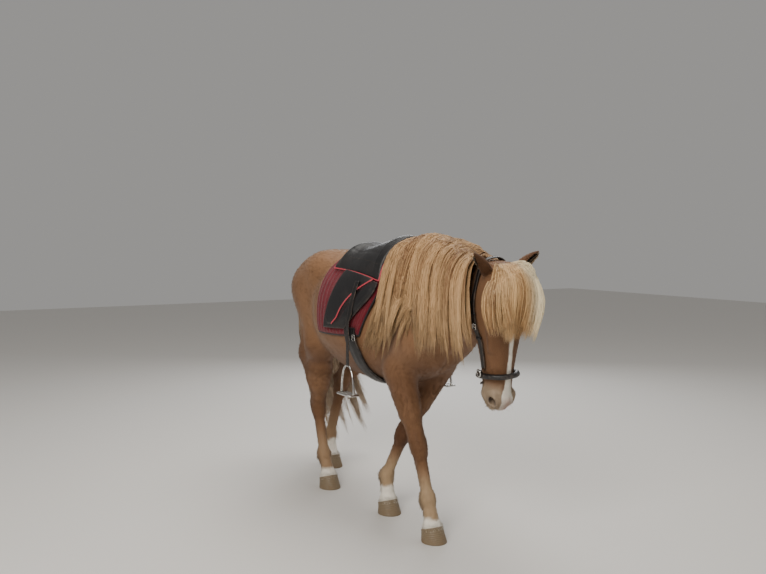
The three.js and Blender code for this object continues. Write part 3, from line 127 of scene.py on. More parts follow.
# %% Light: a pale room, one large soft lamp in front and above, a weaker one behind
def soft_lamp(name, place, aim, size, watts, colour):
    lamp = new_object(name, bpy.data.lights.new(name, "AREA"))
    lamp.data.shape = "DISK"
    lamp.data.size = size
    lamp.data.energy = watts
    lamp.data.color = colour
    lamp.location = place
    lamp.rotation_euler = (Vector(aim) - Vector(place)).to_track_quat("-Z", "Y").to_euler()


soft_lamp("lamp_front", (3.2, -3.6, 3.6), (0.2, 0, 0.9), 2.6, 190, (1, 0.95, 0.87))
soft_lamp("lamp_top", (-0.4, 0.6, 4.6), (0, 0, 0.8), 3.4, 125, (1, 0.97, 0.92))
soft_lamp("lamp_back", (-3.8, 2.6, 2.4), (-0.2, 0, 0.9), 2.4, 60, (0.95, 0.97, 1))

room = bpy.data.worlds.new("room")
room.use_nodes = True
room.node_tree.nodes["Background"].inputs["Color"].default_value = (0.9, 0.88, 0.85, 1)
room.node_tree.nodes["Background"].inputs["Strength"].default_value = 0.36
bpy.context.scene.world = room

# %% [markdown]
# ## Finishes shared by many pieces
#
# Hair, leather and cloth each need the same few effects over and over. Every effect is one shader
# node group with named inputs, built once here and placed in each material with its own values.


# %% Node helpers
def new_group(name, inputs, outputs):
    tree = bpy.data.node_groups.new(name, "ShaderNodeTree")
    for label, kind, value in inputs:
        socket = tree.interface.new_socket(label, in_out="INPUT", socket_type=kind)
        if value is not None:
            socket.default_value = value
    for label, kind in outputs:
        tree.interface.new_socket(label, in_out="OUTPUT", socket_type=kind)
    return tree, tree.nodes.new("NodeGroupInput"), tree.nodes.new("NodeGroupOutput")


def node(tree, kind, *, links=None, **values):
    """A node. Attributes go in as names, socket values and links by socket name or number."""
    made = tree.nodes.new(kind)
    for key, value in values.items():
        setattr(made, key, value)
    for key, value in (links or {}).items():
        socket = made.inputs[key]
        if isinstance(value, bpy.types.NodeSocket):
            tree.links.new(value, socket)
        else:
            socket.default_value = value
    return made


def math_node(tree, operation, a, b=0.0, clamp=False):
    return node(tree, "ShaderNodeMath", operation=operation, use_clamp=clamp,
                links={0: a, 1: b}).outputs[0]


def times(tree, a, b):
    return math_node(tree, "MULTIPLY", a, b)


def plus(tree, a, b, clamp=False):
    return math_node(tree, "ADD", a, b, clamp)


def minus(tree, a, b):
    return math_node(tree, "SUBTRACT", a, b)


def paint(tree, shader, shade, rough, relief):
    """Colour, roughness and relief into the shader. Relief is strength, metres and height."""
    tree.links.new(shade, shader.inputs["Base Color"])
    tree.links.new(rough, shader.inputs["Roughness"])
    strength, distance, height = relief
    raised = node(tree, "ShaderNodeBump",
                  links={"Strength": strength, "Distance": distance, "Height": height})
    tree.links.new(raised.outputs[0], shader.inputs["Normal"])


def mix_colour(tree, factor, a, b, blend="MIX"):
    made = node(tree, "ShaderNodeMix", data_type="RGBA", blend_type=blend)
    for index, value in ((0, factor), (6, a), (7, b)):
        if isinstance(value, bpy.types.NodeSocket):
            tree.links.new(value, made.inputs[index])
        else:
            made.inputs[index].default_value = value
    return made.outputs[2]


def ramp(tree, value, low, high):
    """0 below low, 1 above high."""
    return node(tree, "ShaderNodeMapRange", interpolation_type="SMOOTHSTEP",
                links={0: value, 1: low, 2: high, 3: 0.0, 4: 1.0}).outputs[0]


def attribute(tree, name):
    return node(tree, "ShaderNodeAttribute", attribute_name=name).outputs["Fac"]


def object_place(tree):
    return node(tree, "ShaderNodeTexCoord").outputs["Object"]


def noise(tree, place, scale, detail=3.0, rough=0.5):
    return node(tree, "ShaderNodeTexNoise",
                links={"Vector": place, "Scale": scale, "Detail": detail,
                       "Roughness": rough}).outputs["Fac"]


def stretched(tree, place, scale):
    return node(tree, "ShaderNodeMapping", links={"Vector": place, "Scale": scale}).outputs[0]


def principled(name, **sockets):
    """A material with its Principled BSDF, whose constant sockets are set here."""
    material = bpy.data.materials.new(name)
    material.use_nodes = True
    shader = material.node_tree.nodes["Principled BSDF"]
    for key, value in sockets.items():
        shader.inputs[key.replace("_", " ")].default_value = value
    return material, material.node_tree, shader


def colour(r, g, b):
    """A colour given as on a screen, 0 to 255, in linear light."""
    light = [((v / 255 + 0.055) / 1.055) ** 2.4 if v > 10 else v / 255 / 12.92 for v in (r, g, b)]
    return (*light, 1.0)


# %% Group: streaks, the fine light and dark of hair that lies side by side
streaks, given, result = new_group(
    "hair_streaks",
    [("Base", "NodeSocketColor", (0.5, 0.3, 0.15, 1)), ("Amount", "NodeSocketFloat", 0.3),
     ("Strand", "NodeSocketFloat", 0.5), ("Along", "NodeSocketFloat", 0.5),
     ("Root Shade", "NodeSocketFloat", 0.4)],
    [("Color", "NodeSocketColor"), ("Rough", "NodeSocketFloat")],
)
spread = minus(streaks, given.outputs["Strand"], 0.5)
cloud = noise(streaks, object_place(streaks), 9.0, 2.0)
spread = plus(streaks, spread, minus(streaks, cloud, 0.5))
gain = plus(streaks, times(streaks, spread, given.outputs["Amount"]), 1.0)
shade = minus(streaks, 1.0, given.outputs["Along"])
shade = times(streaks, math_node(streaks, "POWER", shade, 2.0), given.outputs["Root Shade"])
gain = times(streaks, gain, minus(streaks, 1.0, shade))
grey = node(streaks, "ShaderNodeCombineColor", links={0: gain, 1: gain, 2: gain}).outputs[0]
streaks.links.new(mix_colour(streaks, 1.0, given.outputs["Base"], grey, "MULTIPLY"),
                  result.inputs["Color"])
rough = plus(streaks, 0.46, times(streaks, cloud, 0.2))
streaks.links.new(rough, result.inputs["Rough"])

# %% Group: markings, the colours of the coat from the values that skin and tufts both carry
WHITE_HAIR = colour(250, 243, 230)
markings, given, result = new_group(
    "coat_markings",
    [("Light", "NodeSocketColor", colour(147, 110, 79)),
     ("Dark", "NodeSocketColor", colour(88, 58, 38)),
     ("Pale", "NodeSocketColor", colour(180, 154, 122)),
     ("Bare", "NodeSocketColor", colour(184, 164, 140)),
     ("Pink", "NodeSocketColor", colour(204, 160, 144)),
     # Hollow: near black, painted shade in the nostrils, along the lips and deep in the ears
     ("Painted Hollow Shade", "NodeSocketColor", colour(38, 27, 25))],
    [("Color", "NodeSocketColor")],
)
tint = attribute(markings, "dark")
cloud = noise(markings, object_place(markings), 5.0, 3.0)
patchy = times(markings, minus(markings, cloud, 0.5), 0.3)
coat_colour = mix_colour(markings, plus(markings, tint, patchy, clamp=True),
                         given.outputs["Light"], given.outputs["Dark"])
coat_colour = mix_colour(markings, attribute(markings, "pale"), coat_colour, given.outputs["Pale"])
coat_colour = mix_colour(markings, attribute(markings, "bare"), coat_colour, given.outputs["Bare"])
coat_colour = mix_colour(markings, attribute(markings, "white"), coat_colour, WHITE_HAIR)
coat_colour = mix_colour(markings, attribute(markings, "pink"), coat_colour, given.outputs["Pink"])
coat_colour = mix_colour(markings, attribute(markings, "painted_hollow_shade"), coat_colour,
                         given.outputs["Painted Hollow Shade"])
markings.links.new(coat_colour, result.inputs["Color"])
print("shader groups:", [g.name for g in bpy.data.node_groups])


def group_in(tree, group, **links):
    return node(tree, "ShaderNodeGroup", node_tree=group,
                links={key.replace("_", " "): value for key, value in links.items()})


# %% Coat finishes: the skin with its short fur as bump, and the tufts over it
def coat_look(name, bump):
    material, tree, shader = principled(name, Specular_IOR_Level=0.2, Sheen_Weight=0.1)
    coloured = group_in(tree, markings)
    place = object_place(tree)
    along_body = noise(tree, stretched(tree, place, (150, 700, 1100)), 1.0, 3.0, 0.6)
    down_limbs = noise(tree, stretched(tree, place, (1000, 1000, 160)), 1.0, 3.0, 0.6)
    legs_part = attribute(tree, "downward")
    fur = plus(tree, times(tree, down_limbs, legs_part),
               times(tree, along_body, minus(tree, 1.0, legs_part)))
    muscle = noise(tree, place, 14.0, 2.0)
    gain = plus(tree, times(tree, fur, 0.22), 0.89)
    grey = node(tree, "ShaderNodeCombineColor", links={0: gain, 1: gain, 2: gain}).outputs[0]
    shade = mix_colour(tree, 1.0, coloured.outputs["Color"], grey, "MULTIPLY")
    rough = plus(tree, times(tree, muscle, 0.14), 0.49)
    raised = times(tree, fur, minus(tree, 1.0, attribute(tree, "bare")))
    paint(tree, shader, shade, rough, (bump, 0.001, raised))
    return material


skin_look = coat_look("short_chestnut_coat", 0.35)


def tuft_look(name):
    """Tufts carry their root's marking and a light or dark of their own."""
    material, tree, shader = principled(name, Specular_IOR_Level=0.2, Sheen_Weight=0.1)
    # The tufts' coat colours are painted lighter than the skin's: painted light, to offset the shade
    # that falls on the thin slivers
    coloured = group_in(tree, markings, Light=colour(160, 121, 89), Dark=colour(100, 68, 47))
    streaked = group_in(tree, streaks, Base=coloured.outputs["Color"], Amount=0.14,
                        Strand=attribute(tree, "strand"), Along=attribute(tree, "along"),
                        Root_Shade=0.04)
    tree.links.new(streaked.outputs["Color"], shader.inputs["Base Color"])
    tree.links.new(streaked.outputs["Rough"], shader.inputs["Roughness"])
    outward = node(tree, "ShaderNodeAttribute", attribute_name="skin_out").outputs["Vector"]
    outward = node(tree, "ShaderNodeVectorTransform", vector_type="NORMAL", convert_from="OBJECT",
                   convert_to="WORLD", links={0: outward}).outputs[0]
    outward = node(tree, "ShaderNodeVectorMath", operation="SCALE",
                   links={0: outward, "Scale": 3.0}).outputs[0]
    own = node(tree, "ShaderNodeNewGeometry").outputs["Normal"]
    both = node(tree, "ShaderNodeVectorMath", operation="ADD",
                links={0: own, 1: outward}).outputs[0]
    level = node(tree, "ShaderNodeVectorMath", operation="NORMALIZE", links={0: both}).outputs[0]
    tree.links.new(level, shader.inputs["Normal"])
    return material


tufts_look = tuft_look("coat_tufts")


# %% Long hair: flaxen, darker at the root, each strand with its own tone
def long_hair_look(name, deep, light, pale):
    material, tree, shader = principled(name, Specular_IOR_Level=0.42, Sheen_Weight=0.08)
    tone = attribute(tree, "strand")
    base = mix_colour(tree, ramp(tree, tone, 0.1, 0.62), deep, light)
    base = mix_colour(tree, attribute(tree, "bright"), base, pale)
    streaked = group_in(tree, streaks, Base=base, Amount=0.4, Strand=tone,
                        Along=attribute(tree, "along"), Root_Shade=0.3)
    tree.links.new(streaked.outputs["Color"], shader.inputs["Base Color"])
    tree.links.new(streaked.outputs["Rough"], shader.inputs["Roughness"])
    return material


mane_look = long_hair_look("flaxen_mane", colour(138, 97, 60), colour(199, 160, 114),
                           colour(222, 192, 148))
forelock_look = long_hair_look("flaxen_forelock", colour(170, 124, 78), colour(222, 184, 132),
                               colour(255, 240, 204))
tail_look = long_hair_look("silver_flaxen_tail", colour(130, 101, 76), colour(194, 168, 138),
                           colour(214, 194, 170))

# %% [markdown]
# ## The body as a field
#
# A sculptor would start with big masses and press them together. A signed field does the same with
# numbers: each muscle is a rounded cone or an ellipsoid, the trunk, neck and head are lofts over
# stations, and a smooth minimum melts one into the next. The sizes are those of the CAD model.


# %% Field helpers
def unit(v):
    v = np.asarray(v, float)
    return v / np.maximum(np.linalg.norm(v, axis=-1, keepdims=True), 1e-9)


def length(v):
    return np.linalg.norm(v, axis=1)


def lerp(a, b, t):
    return a + (b - a) * t


def bell(value, width, power=2):
    """1 where value is 0, falling off over "width" to both sides."""
    return np.exp(-((value / width) ** power))


def smooth_min(a, b, k):
    h = np.maximum(k - np.abs(a - b), 0) / k
    return np.minimum(a, b) - h * h * k / 4


def smooth_max(a, b, k):
    return -smooth_min(-a, -b, k)


REACH = 130


class Part:
    """One muscle or bone: its distance function, its blend, and the box in which it counts."""

    def __init__(self, at, blend, low, high):
        self.at, self.blend = at, blend
        self.low, self.high = np.asarray(low) - blend - REACH, np.asarray(high) + blend + REACH

    def near(self, points):
        return np.nonzero(((points > self.low) & (points < self.high)).all(axis=1))[0]


def limb(a, b, ra, rb, blend, deep=1.0, along=(1, 0, 0)):
    """A rounded cone from a to b, its section stretched by "deep" towards "along"."""
    a, b, along = (np.asarray(v, float) for v in (a, b, along))
    axis = b - a
    long2 = axis @ axis
    w = unit(along - axis * (along @ axis) / long2)
    squeeze = 1 - 1 / deep

    def at(points):
        start = points - a
        h = np.clip(start @ axis / long2, 0, 1)
        q = start - h[:, None] * axis
        q -= w * (q @ w * squeeze)[:, None]
        return length(q) - lerp(ra, rb, h)

    size = max(ra, rb) * max(deep, 1)
    return Part(at, blend, np.minimum(a, b) - size, np.maximum(a, b) + size)


def mass(centre, radii, blend):
    """An ellipsoid."""
    centre, radii = np.asarray(centre, float), np.asarray(radii, float)

    def at(points):
        l = (points - centre) / radii
        k0 = length(l)
        k1 = np.maximum(length(l / radii), 1e-9)
        return k0 * (k0 - 1) / k1

    return Part(at, blend, centre - radii, centre + radii)


def both_sides(make):
    return [make(1), make(-1)]


def fold(parts, points, field, join=smooth_min, sign=1):
    for part in parts:
        near = part.near(points)
        if len(near):
            field[near] = join(field[near], sign * part.at(points[near]), part.blend)
    return field


def smooth_stations(stations, samples=96):
    """Rows of (key, value, value ...) as a smooth table, read at any key."""
    rows = np.array(stations, float)
    keys = rows[:, 0]
    way = 1 if keys[-1] > keys[0] else -1
    at = np.linspace(keys[0], keys[-1], samples + 1)
    table = np.zeros((samples + 1, rows.shape[1] - 1))
    for n, v in enumerate(at):
        s = next((i for i in range(1, len(rows)) if (v - keys[i]) * way <= 0), len(rows) - 1)
        a, b, c, d = rows[max(0, s - 2)], rows[s - 1], rows[s], rows[min(len(rows) - 1, s + 1)]
        t = (v - b[0]) / (c[0] - b[0])
        slope_b = (c[1:] - a[1:]) / (c[0] - a[0]) * (c[0] - b[0])
        slope_c = (d[1:] - b[1:]) / (d[0] - b[0]) * (c[0] - b[0])
        h1 = t * t * (3 - 2 * t)
        table[n] = (lerp(b[1:], c[1:], h1) + slope_b * (t - 2 * t * t + t**3)
                    + slope_c * (t**3 - t * t))

    def read(v):
        x = np.clip((v - keys[0]) / (keys[-1] - keys[0]), 0, 1) * samples
        i = np.minimum(samples - 1, x.astype(int))
        return (table[i] + (table[i + 1] - table[i]) * (x - i)[:, None]).T

    return read


def section_distance(side, rise, half, up, down, power):
    reach = np.maximum(np.hypot(side, rise), 1e-6)
    tall = np.where(rise > 0, up, down)
    n = np.where(rise > 0, power, 2.1)
    r = (np.abs(side) / half) ** n + (np.abs(rise) / tall) ** n
    return reach - reach / np.maximum(r, 1e-12) ** (1 / n)


def close_ends(section, beyond):
    outside = np.where(section > 0, np.hypot(section, beyond), beyond)
    return np.where(beyond <= 0, np.maximum(section, beyond), outside)


# %% Trunk, neck and head
TRUNK = smooth_stations([
    # x, top line, underline, half width, height of the widest point, fullness of the upper half
    (640, 1105, 915, 80, 1010, 2),
    (590, 1190, 835, 135, 995, 2),
    (500, 1290, 765, 170, 975, 1.9),
    (400, 1350, 724, 186, 955, 1.8),
    (300, 1380, 702, 208, 950, 1.72),
    (170, 1362, 686, 242, 960, 1.86),
    (30, 1328, 682, 268, 980, 2.05),
    (-120, 1314, 694, 278, 995, 2.2),
    (-260, 1325, 736, 264, 1015, 2.2),
    (-380, 1345, 790, 236, 1040, 2.3),
    (-500, 1347, 842, 215, 1070, 2.3),
    (-620, 1315, 885, 182, 1080, 2.2),
    (-725, 1245, 950, 126, 1090, 2),
])
NECK = smooth_stations([
    # share of the way from the trunk to the poll, up, down, half width
    (0, 205, 262, 100),
    (0.15, 252, 266, 126),
    (0.3, 276, 250, 120),
    (0.47, 276, 218, 105),
    (0.65, 232, 178, 92),
    (0.82, 158, 140, 80),
    (1, 94, 105, 68),
])
NECK_FROM, NECK_TO = np.array([300.0, 0, 1092]), np.array([1008.0, 12, 1196])
HEAD = smooth_stations([
    # share of the way from the poll to the lips, front, back, half width, flatness of the brow
    (0, 32, 80, 52, 2.2),
    (0.08, 63, 112, 76, 2.3),
    (0.18, 88, 136, 95, 2.5),
    (0.28, 94, 160, 99, 2.8),
    (0.4, 88, 170, 89, 2.8),
    (0.5, 82, 144, 77, 2.6),
    (0.6, 76, 116, 68, 2.4),
    (0.72, 69, 92, 61, 2.2),
    (0.84, 64, 80, 57, 2.1),
    (0.93, 60, 74, 57, 2.1),
    (1, 37, 44, 44, 2),
])
neck_long = np.linalg.norm(NECK_TO - NECK_FROM)
neck_way = unit(NECK_TO - NECK_FROM)
neck_side = unit(np.cross([0, 0, 1], neck_way))
neck_up = np.cross(neck_way, neck_side)


def trunk_loft(p):
    top, bottom, half, wide, ridge = TRUNK(p[:, 0])
    section = section_distance(p[:, 1], p[:, 2] - wide, half, top - wide, wide - bottom, ridge)
    return close_ends(section, np.maximum(p[:, 0] - 640, -725 - p[:, 0]))


def neck_loft(p):
    q = p - NECK_FROM
    t = q @ neck_way / neck_long
    up, down, half = NECK(t)
    section = section_distance(q @ neck_side, q @ neck_up, half, up, down, 1.8)
    return close_ends(section, np.maximum(-t, t - 1) * neck_long)


def head_loft(local):
    t = -local[:, 2] / HEAD_LENGTH
    front, back, half, brow = HEAD(t)
    section = section_distance(local[:, 1], local[:, 0], half, front, back, brow)
    return close_ends(section, np.maximum(-t, t - 1) * HEAD_LENGTH)


# %% Muscles, hollows and lids of the head, in the head's own frame
EARS = {
    "right": {"side": -1, "way": (0.06, -0.76, 0.62), "opens": (-0.35, -0.85, 0.1)},
    "left": {"side": 1, "way": (0.32, 0.78, 0.52), "opens": (0.9, 0.1, -0.35)},
}
EAR_AT, EAR_LENGTH, EAR_STUB = (-4, 60, -46), 146, 26
ex, ey, ez = EYE_AT


def ear_root(side):
    return np.array([EAR_AT[0], EAR_AT[1] * side, EAR_AT[2]], float)


head_muscles = [
    *both_sides(lambda s: mass((ex - 4, (ey - 14) * s, ez + 12), (38, 28, 42), 26)),
    *both_sides(lambda s: mass((-62, 58 * s, -228), (84, 38, 98), 34)),
    *both_sides(lambda s: limb((30, 82 * s, -242), (22, 62 * s, -366), 15, 10, 22)),
    *both_sides(lambda s: mass((30, 46 * s, -584), (27, 25, 34), 18)),
    *[
        limb(ear_root(e["side"]), ear_root(e["side"]) + unit(e["way"]) * (EAR_STUB - 10), 27, 23,
             24)
        for e in EARS.values()
    ],
    mass((14, 0, -598), (48, 49, 31), 20),
    mass((-50, 0, -584), (30, 40, 31), 20),
]
head_hollows = [
    *both_sides(lambda s: limb((44, 78 * s, -605), (24, 50 * s, -588), 16, 11, 8, 1.6, (0, 0, 1))),
    *both_sides(lambda s: limb((-18, 74 * s, -530), (-16, 60 * s, -590), 5, 5, 7)),
    limb((-16, 0, -644), (-16, 0, -626), 5, 4, 8, 8, (0, 1, 0)),
    mass((-154, 0, -345), (62, 28, 178), 30),
]
lids = [
    lid
    for s in (1, -1)
    for lid in (
        limb((ex + 21, (ey - 4) * s, ez + 1), (ex + 2, (ey + 10) * s, ez + 15), 6, 7, 7),
        limb((ex + 2, (ey + 10) * s, ez + 15), (ex - 22, (ey + 4) * s, ez + 1), 7, 5, 7),
        limb((ex + 21, (ey - 4) * s, ez - 2), (ex + 1, (ey + 7) * s, ez - 16), 4, 5, 7),
        limb((ex + 1, (ey + 7) * s, ez - 16), (ex - 22, (ey + 4) * s, ez - 2), 5, 4, 7),
    )
]


def head_field(points):
    local = to_head(points)
    d = fold(head_muscles, local, head_loft(local))
    d = fold(head_hollows, local, d, smooth_max, -1)
    return fold(lids, local, d)


# %% Legs in the pose of the photograph
LEGS = {
    "right_fore": {
        "blade": (350, -82, 1245), "shoulder": (560, -128, 962), "elbow": (415, -140, 795),
        "knee": (512, -88, 428), "fetlock": (560, -66, 190), "hoof": (604, -63, 0),
    },
    "left_fore": {
        "blade": (340, 82, 1245), "shoulder": (545, 128, 962), "elbow": (355, 132, 790),
        "knee": (222, 2, 425), "fetlock": (112, -30, 190), "hoof": (146, -35, 0),
    },
    "right_hind": {
        "hip": (-540, -115, 1120), "stifle": (-390, -164, 835), "seat": (-700, -80, 1120),
        "hock": (-550, -104, 440), "fetlock": (-470, -104, 178), "hoof": (-412, -100, 0),
    },
    "left_hind": {
        "hip": (-560, 115, 1120), "stifle": (-465, 162, 850), "seat": (-708, 80, 1120),
        "hock": (-748, 143, 500), "fetlock": (-848, 122, 190), "hoof": (-806, 117, 0),
    },
}
LEGS = {
    leg: {joint: np.array(at, float) for joint, at in joints.items()}
    for leg, joints in LEGS.items()
}


def foreleg(blade, shoulder, elbow, knee, fetlock, hoof):
    down, shin = unit(knee - elbow), unit(fetlock - knee)
    crown = hoof + (-14, 0, 66)
    return [
        limb(blade, shoulder, 48, 66, 80, 1.3, (1, 0, 0.6)),
        limb(shoulder, elbow, 70, 72, 60),
        limb(elbow, lerp(elbow, knee, 0.55), 68, 48, 45, 1.15),
        limb(lerp(elbow, knee, 0.1), knee, 60, 36, 35, 1.1),
        limb(knee - down * 26, knee + shin * 26, 39, 36, 22, 0.95),
        limb(knee, fetlock, 27, 25, 22, 1.22),
        limb(knee + (-18, 0, -60), fetlock + (-18, 0, 10), 15, 16, 16),
        limb(fetlock - shin * 14, fetlock, 32, 33, 20, 1.08),
        limb(fetlock + (-20, 0, -4), fetlock + (-24, 0, -24), 19, 14, 16),
        limb(fetlock, crown + (0, 0, 10), 28, 38, 22),
        limb(crown, hoof + (-4, 0, 40), 44, 48, 14),
    ]


def hindleg(hip, stifle, seat, hock, fetlock, hoof):
    point = hock + (-52, 0, 60)
    shin = unit(fetlock - hock)
    crown = hoof + (-14, 0, 66)
    calf = lerp(stifle, hock, 0.35)
    return [
        limb(hip + (150, 0, 95), hip + (10, 0, 0), 80, 112, 90),
        limb(hip, stifle, 120, 84, 80),
        limb(seat, calf + (-95, 0, 60), 74, 66, 70),
        limb(seat, hip + (0, 0, 40), 76, 100, 80),
        limb(stifle, lerp(stifle, hock, 0.6), 78, 52, 50, 1.15),
        limb(calf + (-95, 0, 60), calf + (-60, 0, -60), 70, 44, 50),
        limb(calf, hock, 62, 36, 40, 1.12),
        limb(calf + (-70, 0, -40), point, 34, 15, 30),
        limb(hock, point, 27, 19, 22),
        limb(hock - shin * 34, hock + shin * 34, 38, 33, 22, 1.18),
        limb(hock, fetlock, 28, 26, 24, 1.2),
        limb(hock + (-26, 0, -40), fetlock + (-18, 0, 10), 17, 16, 18),
        limb(fetlock - shin * 14, fetlock, 32, 33, 20, 1.08),
        limb(fetlock + (-20, 0, -4), fetlock + (-24, 0, -24), 19, 14, 16),
        limb(fetlock, crown + (0, 0, 10), 28, 38, 22),
        limb(crown, hoof + (-4, 0, 40), 44, 48, 14),
    ]


leg_parts = {
    leg: (hindleg if "hip" in joints else foreleg)(**joints)
    for leg, joints in LEGS.items()
}

# %% The trunk's own muscles, the dock of the tail, and the whole flesh
DOCK_FROM, DOCK_TO = np.array([-680.0, 0, 1262]), np.array([-880.0, 22, 1098])
trunk_muscles = [
    *both_sides(lambda s: mass((572, 66 * s, 955), (70, 74, 112), 70)),
    limb((520, 0, 1000), (515, 0, 880), 112, 84, 90),
    *both_sides(lambda s: mass((-420, 136 * s, 1236), (125, 90, 82), 90)),
    limb(DOCK_FROM, DOCK_TO, 44, 22, 40),
]


def body_field(p):
    return fold(trunk_muscles, p, smooth_min(trunk_loft(p), neck_loft(p), 90))


def barrel_field(p):
    shoulders = leg_parts["left_fore"][:3] + leg_parts["right_fore"][:3]
    return fold(shoulders, p, body_field(p))


def four_leg_field(p):
    d = body_field(p)
    for parts in leg_parts.values():
        d = fold(parts, p, d)
    return d


def flesh(p):
    return smooth_min(four_leg_field(p), head_field(p), 46)


def gradient(field, p, e=1.5):
    return unit(np.stack([
        field(p + step) - field(p - step) for step in np.eye(3) * e
    ], axis=1))


print("the field has", sum(map(len, leg_parts.values())) + len(trunk_muscles), "body parts")

# %% [markdown]
# ## The skin
#
# The field is turned into a mesh with surface nets: one point in every small cell that the surface
# crosses, and four-sided faces between them. Cells of ten millimetres carry the barrel, but a face
# needs finer ones, so the faces there are split and every new point is pulled onto the surface.
# The skin lies a coat's depth inside the CAD solids, and the fur stands over it.

# %% Surface nets on a sparse grid
CELL = 10
COAT_DEPTH = 2.0


def sample_grid(field, low, high, cell, block=4):
    """The field on a grid. Blocks far from the surface keep the one value of their middle."""
    low = np.asarray(low, float)
    blocks = np.ceil((np.asarray(high) - low) / (cell * block)).astype(int)
    size = blocks * block
    middle = low + (np.stack(np.meshgrid(*map(np.arange, blocks), indexing="ij"), -1) * block
                    + (block - 1) / 2) * cell
    coarse = field(middle.reshape(-1, 3)).reshape(blocks)
    values = coarse.repeat(block, 0).repeat(block, 1).repeat(block, 2)
    index = np.argwhere(np.abs(values) < 2.0 * block * cell)
    values[tuple(index.T)] = field(low + index * cell)
    print("grid", size, "evaluated", len(index))
    return low, values


def surface_nets(low, values, cell):
    """Points and outward quads where the grid's values change sign."""
    inside = values < 0
    nx, ny, nz = (n - 1 for n in values.shape)
    corners = [(i, j, k) for i in (0, 1) for j in (0, 1) for k in (0, 1)]
    count = sum(inside[i:nx + i, j:ny + j, k:nz + k].astype(np.int8) for i, j, k in corners)
    cells = np.argwhere((count > 0) & (count < 8))
    number = np.full((nx, ny, nz), -1)
    number[tuple(cells.T)] = np.arange(len(cells))
    total, crossings = np.zeros((len(cells), 3)), np.zeros(len(cells))
    for a in corners:
        for axis in range(3):
            if a[axis]:
                continue
            step = np.eye(3, dtype=int)[axis]
            va = values[tuple((cells + a).T)]
            vb = values[tuple((cells + a + step).T)]
            crossed = (va < 0) != (vb < 0)
            t = np.where(crossed, va / np.where(crossed, va - vb, 1), 0)
            total += (np.array(a) + t[:, None] * step) * crossed[:, None]
            crossings += crossed
    points = low + (cells + total / crossings[:, None]) * cell
    quads = []
    for axis in range(3):
        u, v = (axis + 1) % 3, (axis + 2) % 3
        step, eu, ev = np.eye(3, dtype=int)[[axis, u, v]]
        inner = inside[1:-1, 1:-1, 1:-1]
        ahead = inside[tuple(slice(1 + s, n + s) for s, n in zip(step, (nx, ny, nz)))]
        edges = np.argwhere(inner != ahead) + 1
        out = inside[tuple(edges.T)]
        ring = [number[tuple((edges - c).T)] for c in (0 * eu, eu, eu + ev, ev)]
        ring = np.stack(ring, 1)
        quads.append(np.where(out[:, None], ring, ring[:, ::-1]))
    quads = np.concatenate(quads)
    return points, quads[(quads >= 0).all(axis=1)]


def split_faces(points, quads, chosen):
    """Splits the chosen quads in four. A neighbour takes the new points on its edges."""
    sides = np.stack([quads, np.roll(quads, -1, axis=1)], -1)
    keys = np.sort(sides, -1)
    keys = keys[..., 0] * len(points) + keys[..., 1]
    wanted, where = np.unique(keys[chosen], return_inverse=True)
    a, b = wanted // len(points), wanted % len(points)
    middle_of = len(points) + where.reshape(-1, 4)
    centre_of = len(points) + len(wanted) + np.arange(len(middle_of))
    whole = quads[chosen]
    parts = np.stack([
        np.stack([whole[:, n], middle_of[:, n], centre_of, middle_of[:, n - 1]], 1)
        for n in range(4)
    ], 1).reshape(-1, 4)
    fresh = np.concatenate([points, (points[a] + points[b]) / 2, points[whole].mean(axis=1)])
    rest = quads[~chosen]
    spot = np.searchsorted(wanted, keys[~chosen])
    spot[spot == len(wanted)] = 0
    touched = wanted[spot] == keys[~chosen]
    plain = rest[~touched.any(axis=1)]
    mixed = []
    for face, marks, at in zip(rest[touched.any(axis=1)], touched[touched.any(axis=1)],
                               spot[touched.any(axis=1)]):
        ring = []
        for n in range(4):
            ring.append(int(face[n]))
            if marks[n]:
                ring.append(int(len(points) + at[n]))
        mixed.append(ring)
    return fresh, parts, plain, mixed


def settle(field, points, rounds=3, depth=COAT_DEPTH):
    """Pulls points onto the surface "depth" below the field's zero."""
    for _ in range(rounds):
        d = field(points) + depth
        e = 0.8
        slope = (np.stack([field(points + s) - field(points - s) for s in np.eye(3) * e], 1)
                 / (2 * e))
        steep = np.maximum((slope**2).sum(axis=1), 0.25)
        points = points - slope * np.clip(d / steep, -4, 4)[:, None]
    return points


# %% Where the skin is finer, and the shapes that only the skin has
def groove(points, line, width, depth):
    """How deep a groove along a line of points is at each point."""
    line = np.asarray(line, float)
    best = np.full(len(points), 1e9)
    for a, b in zip(line[:-1], line[1:]):
        axis = b - a
        t = np.clip((points - a) @ axis / (axis @ axis), 0, 1)
        best = np.minimum(best, length(points - a - t[:, None] * axis))
    return depth * bell(best, width)


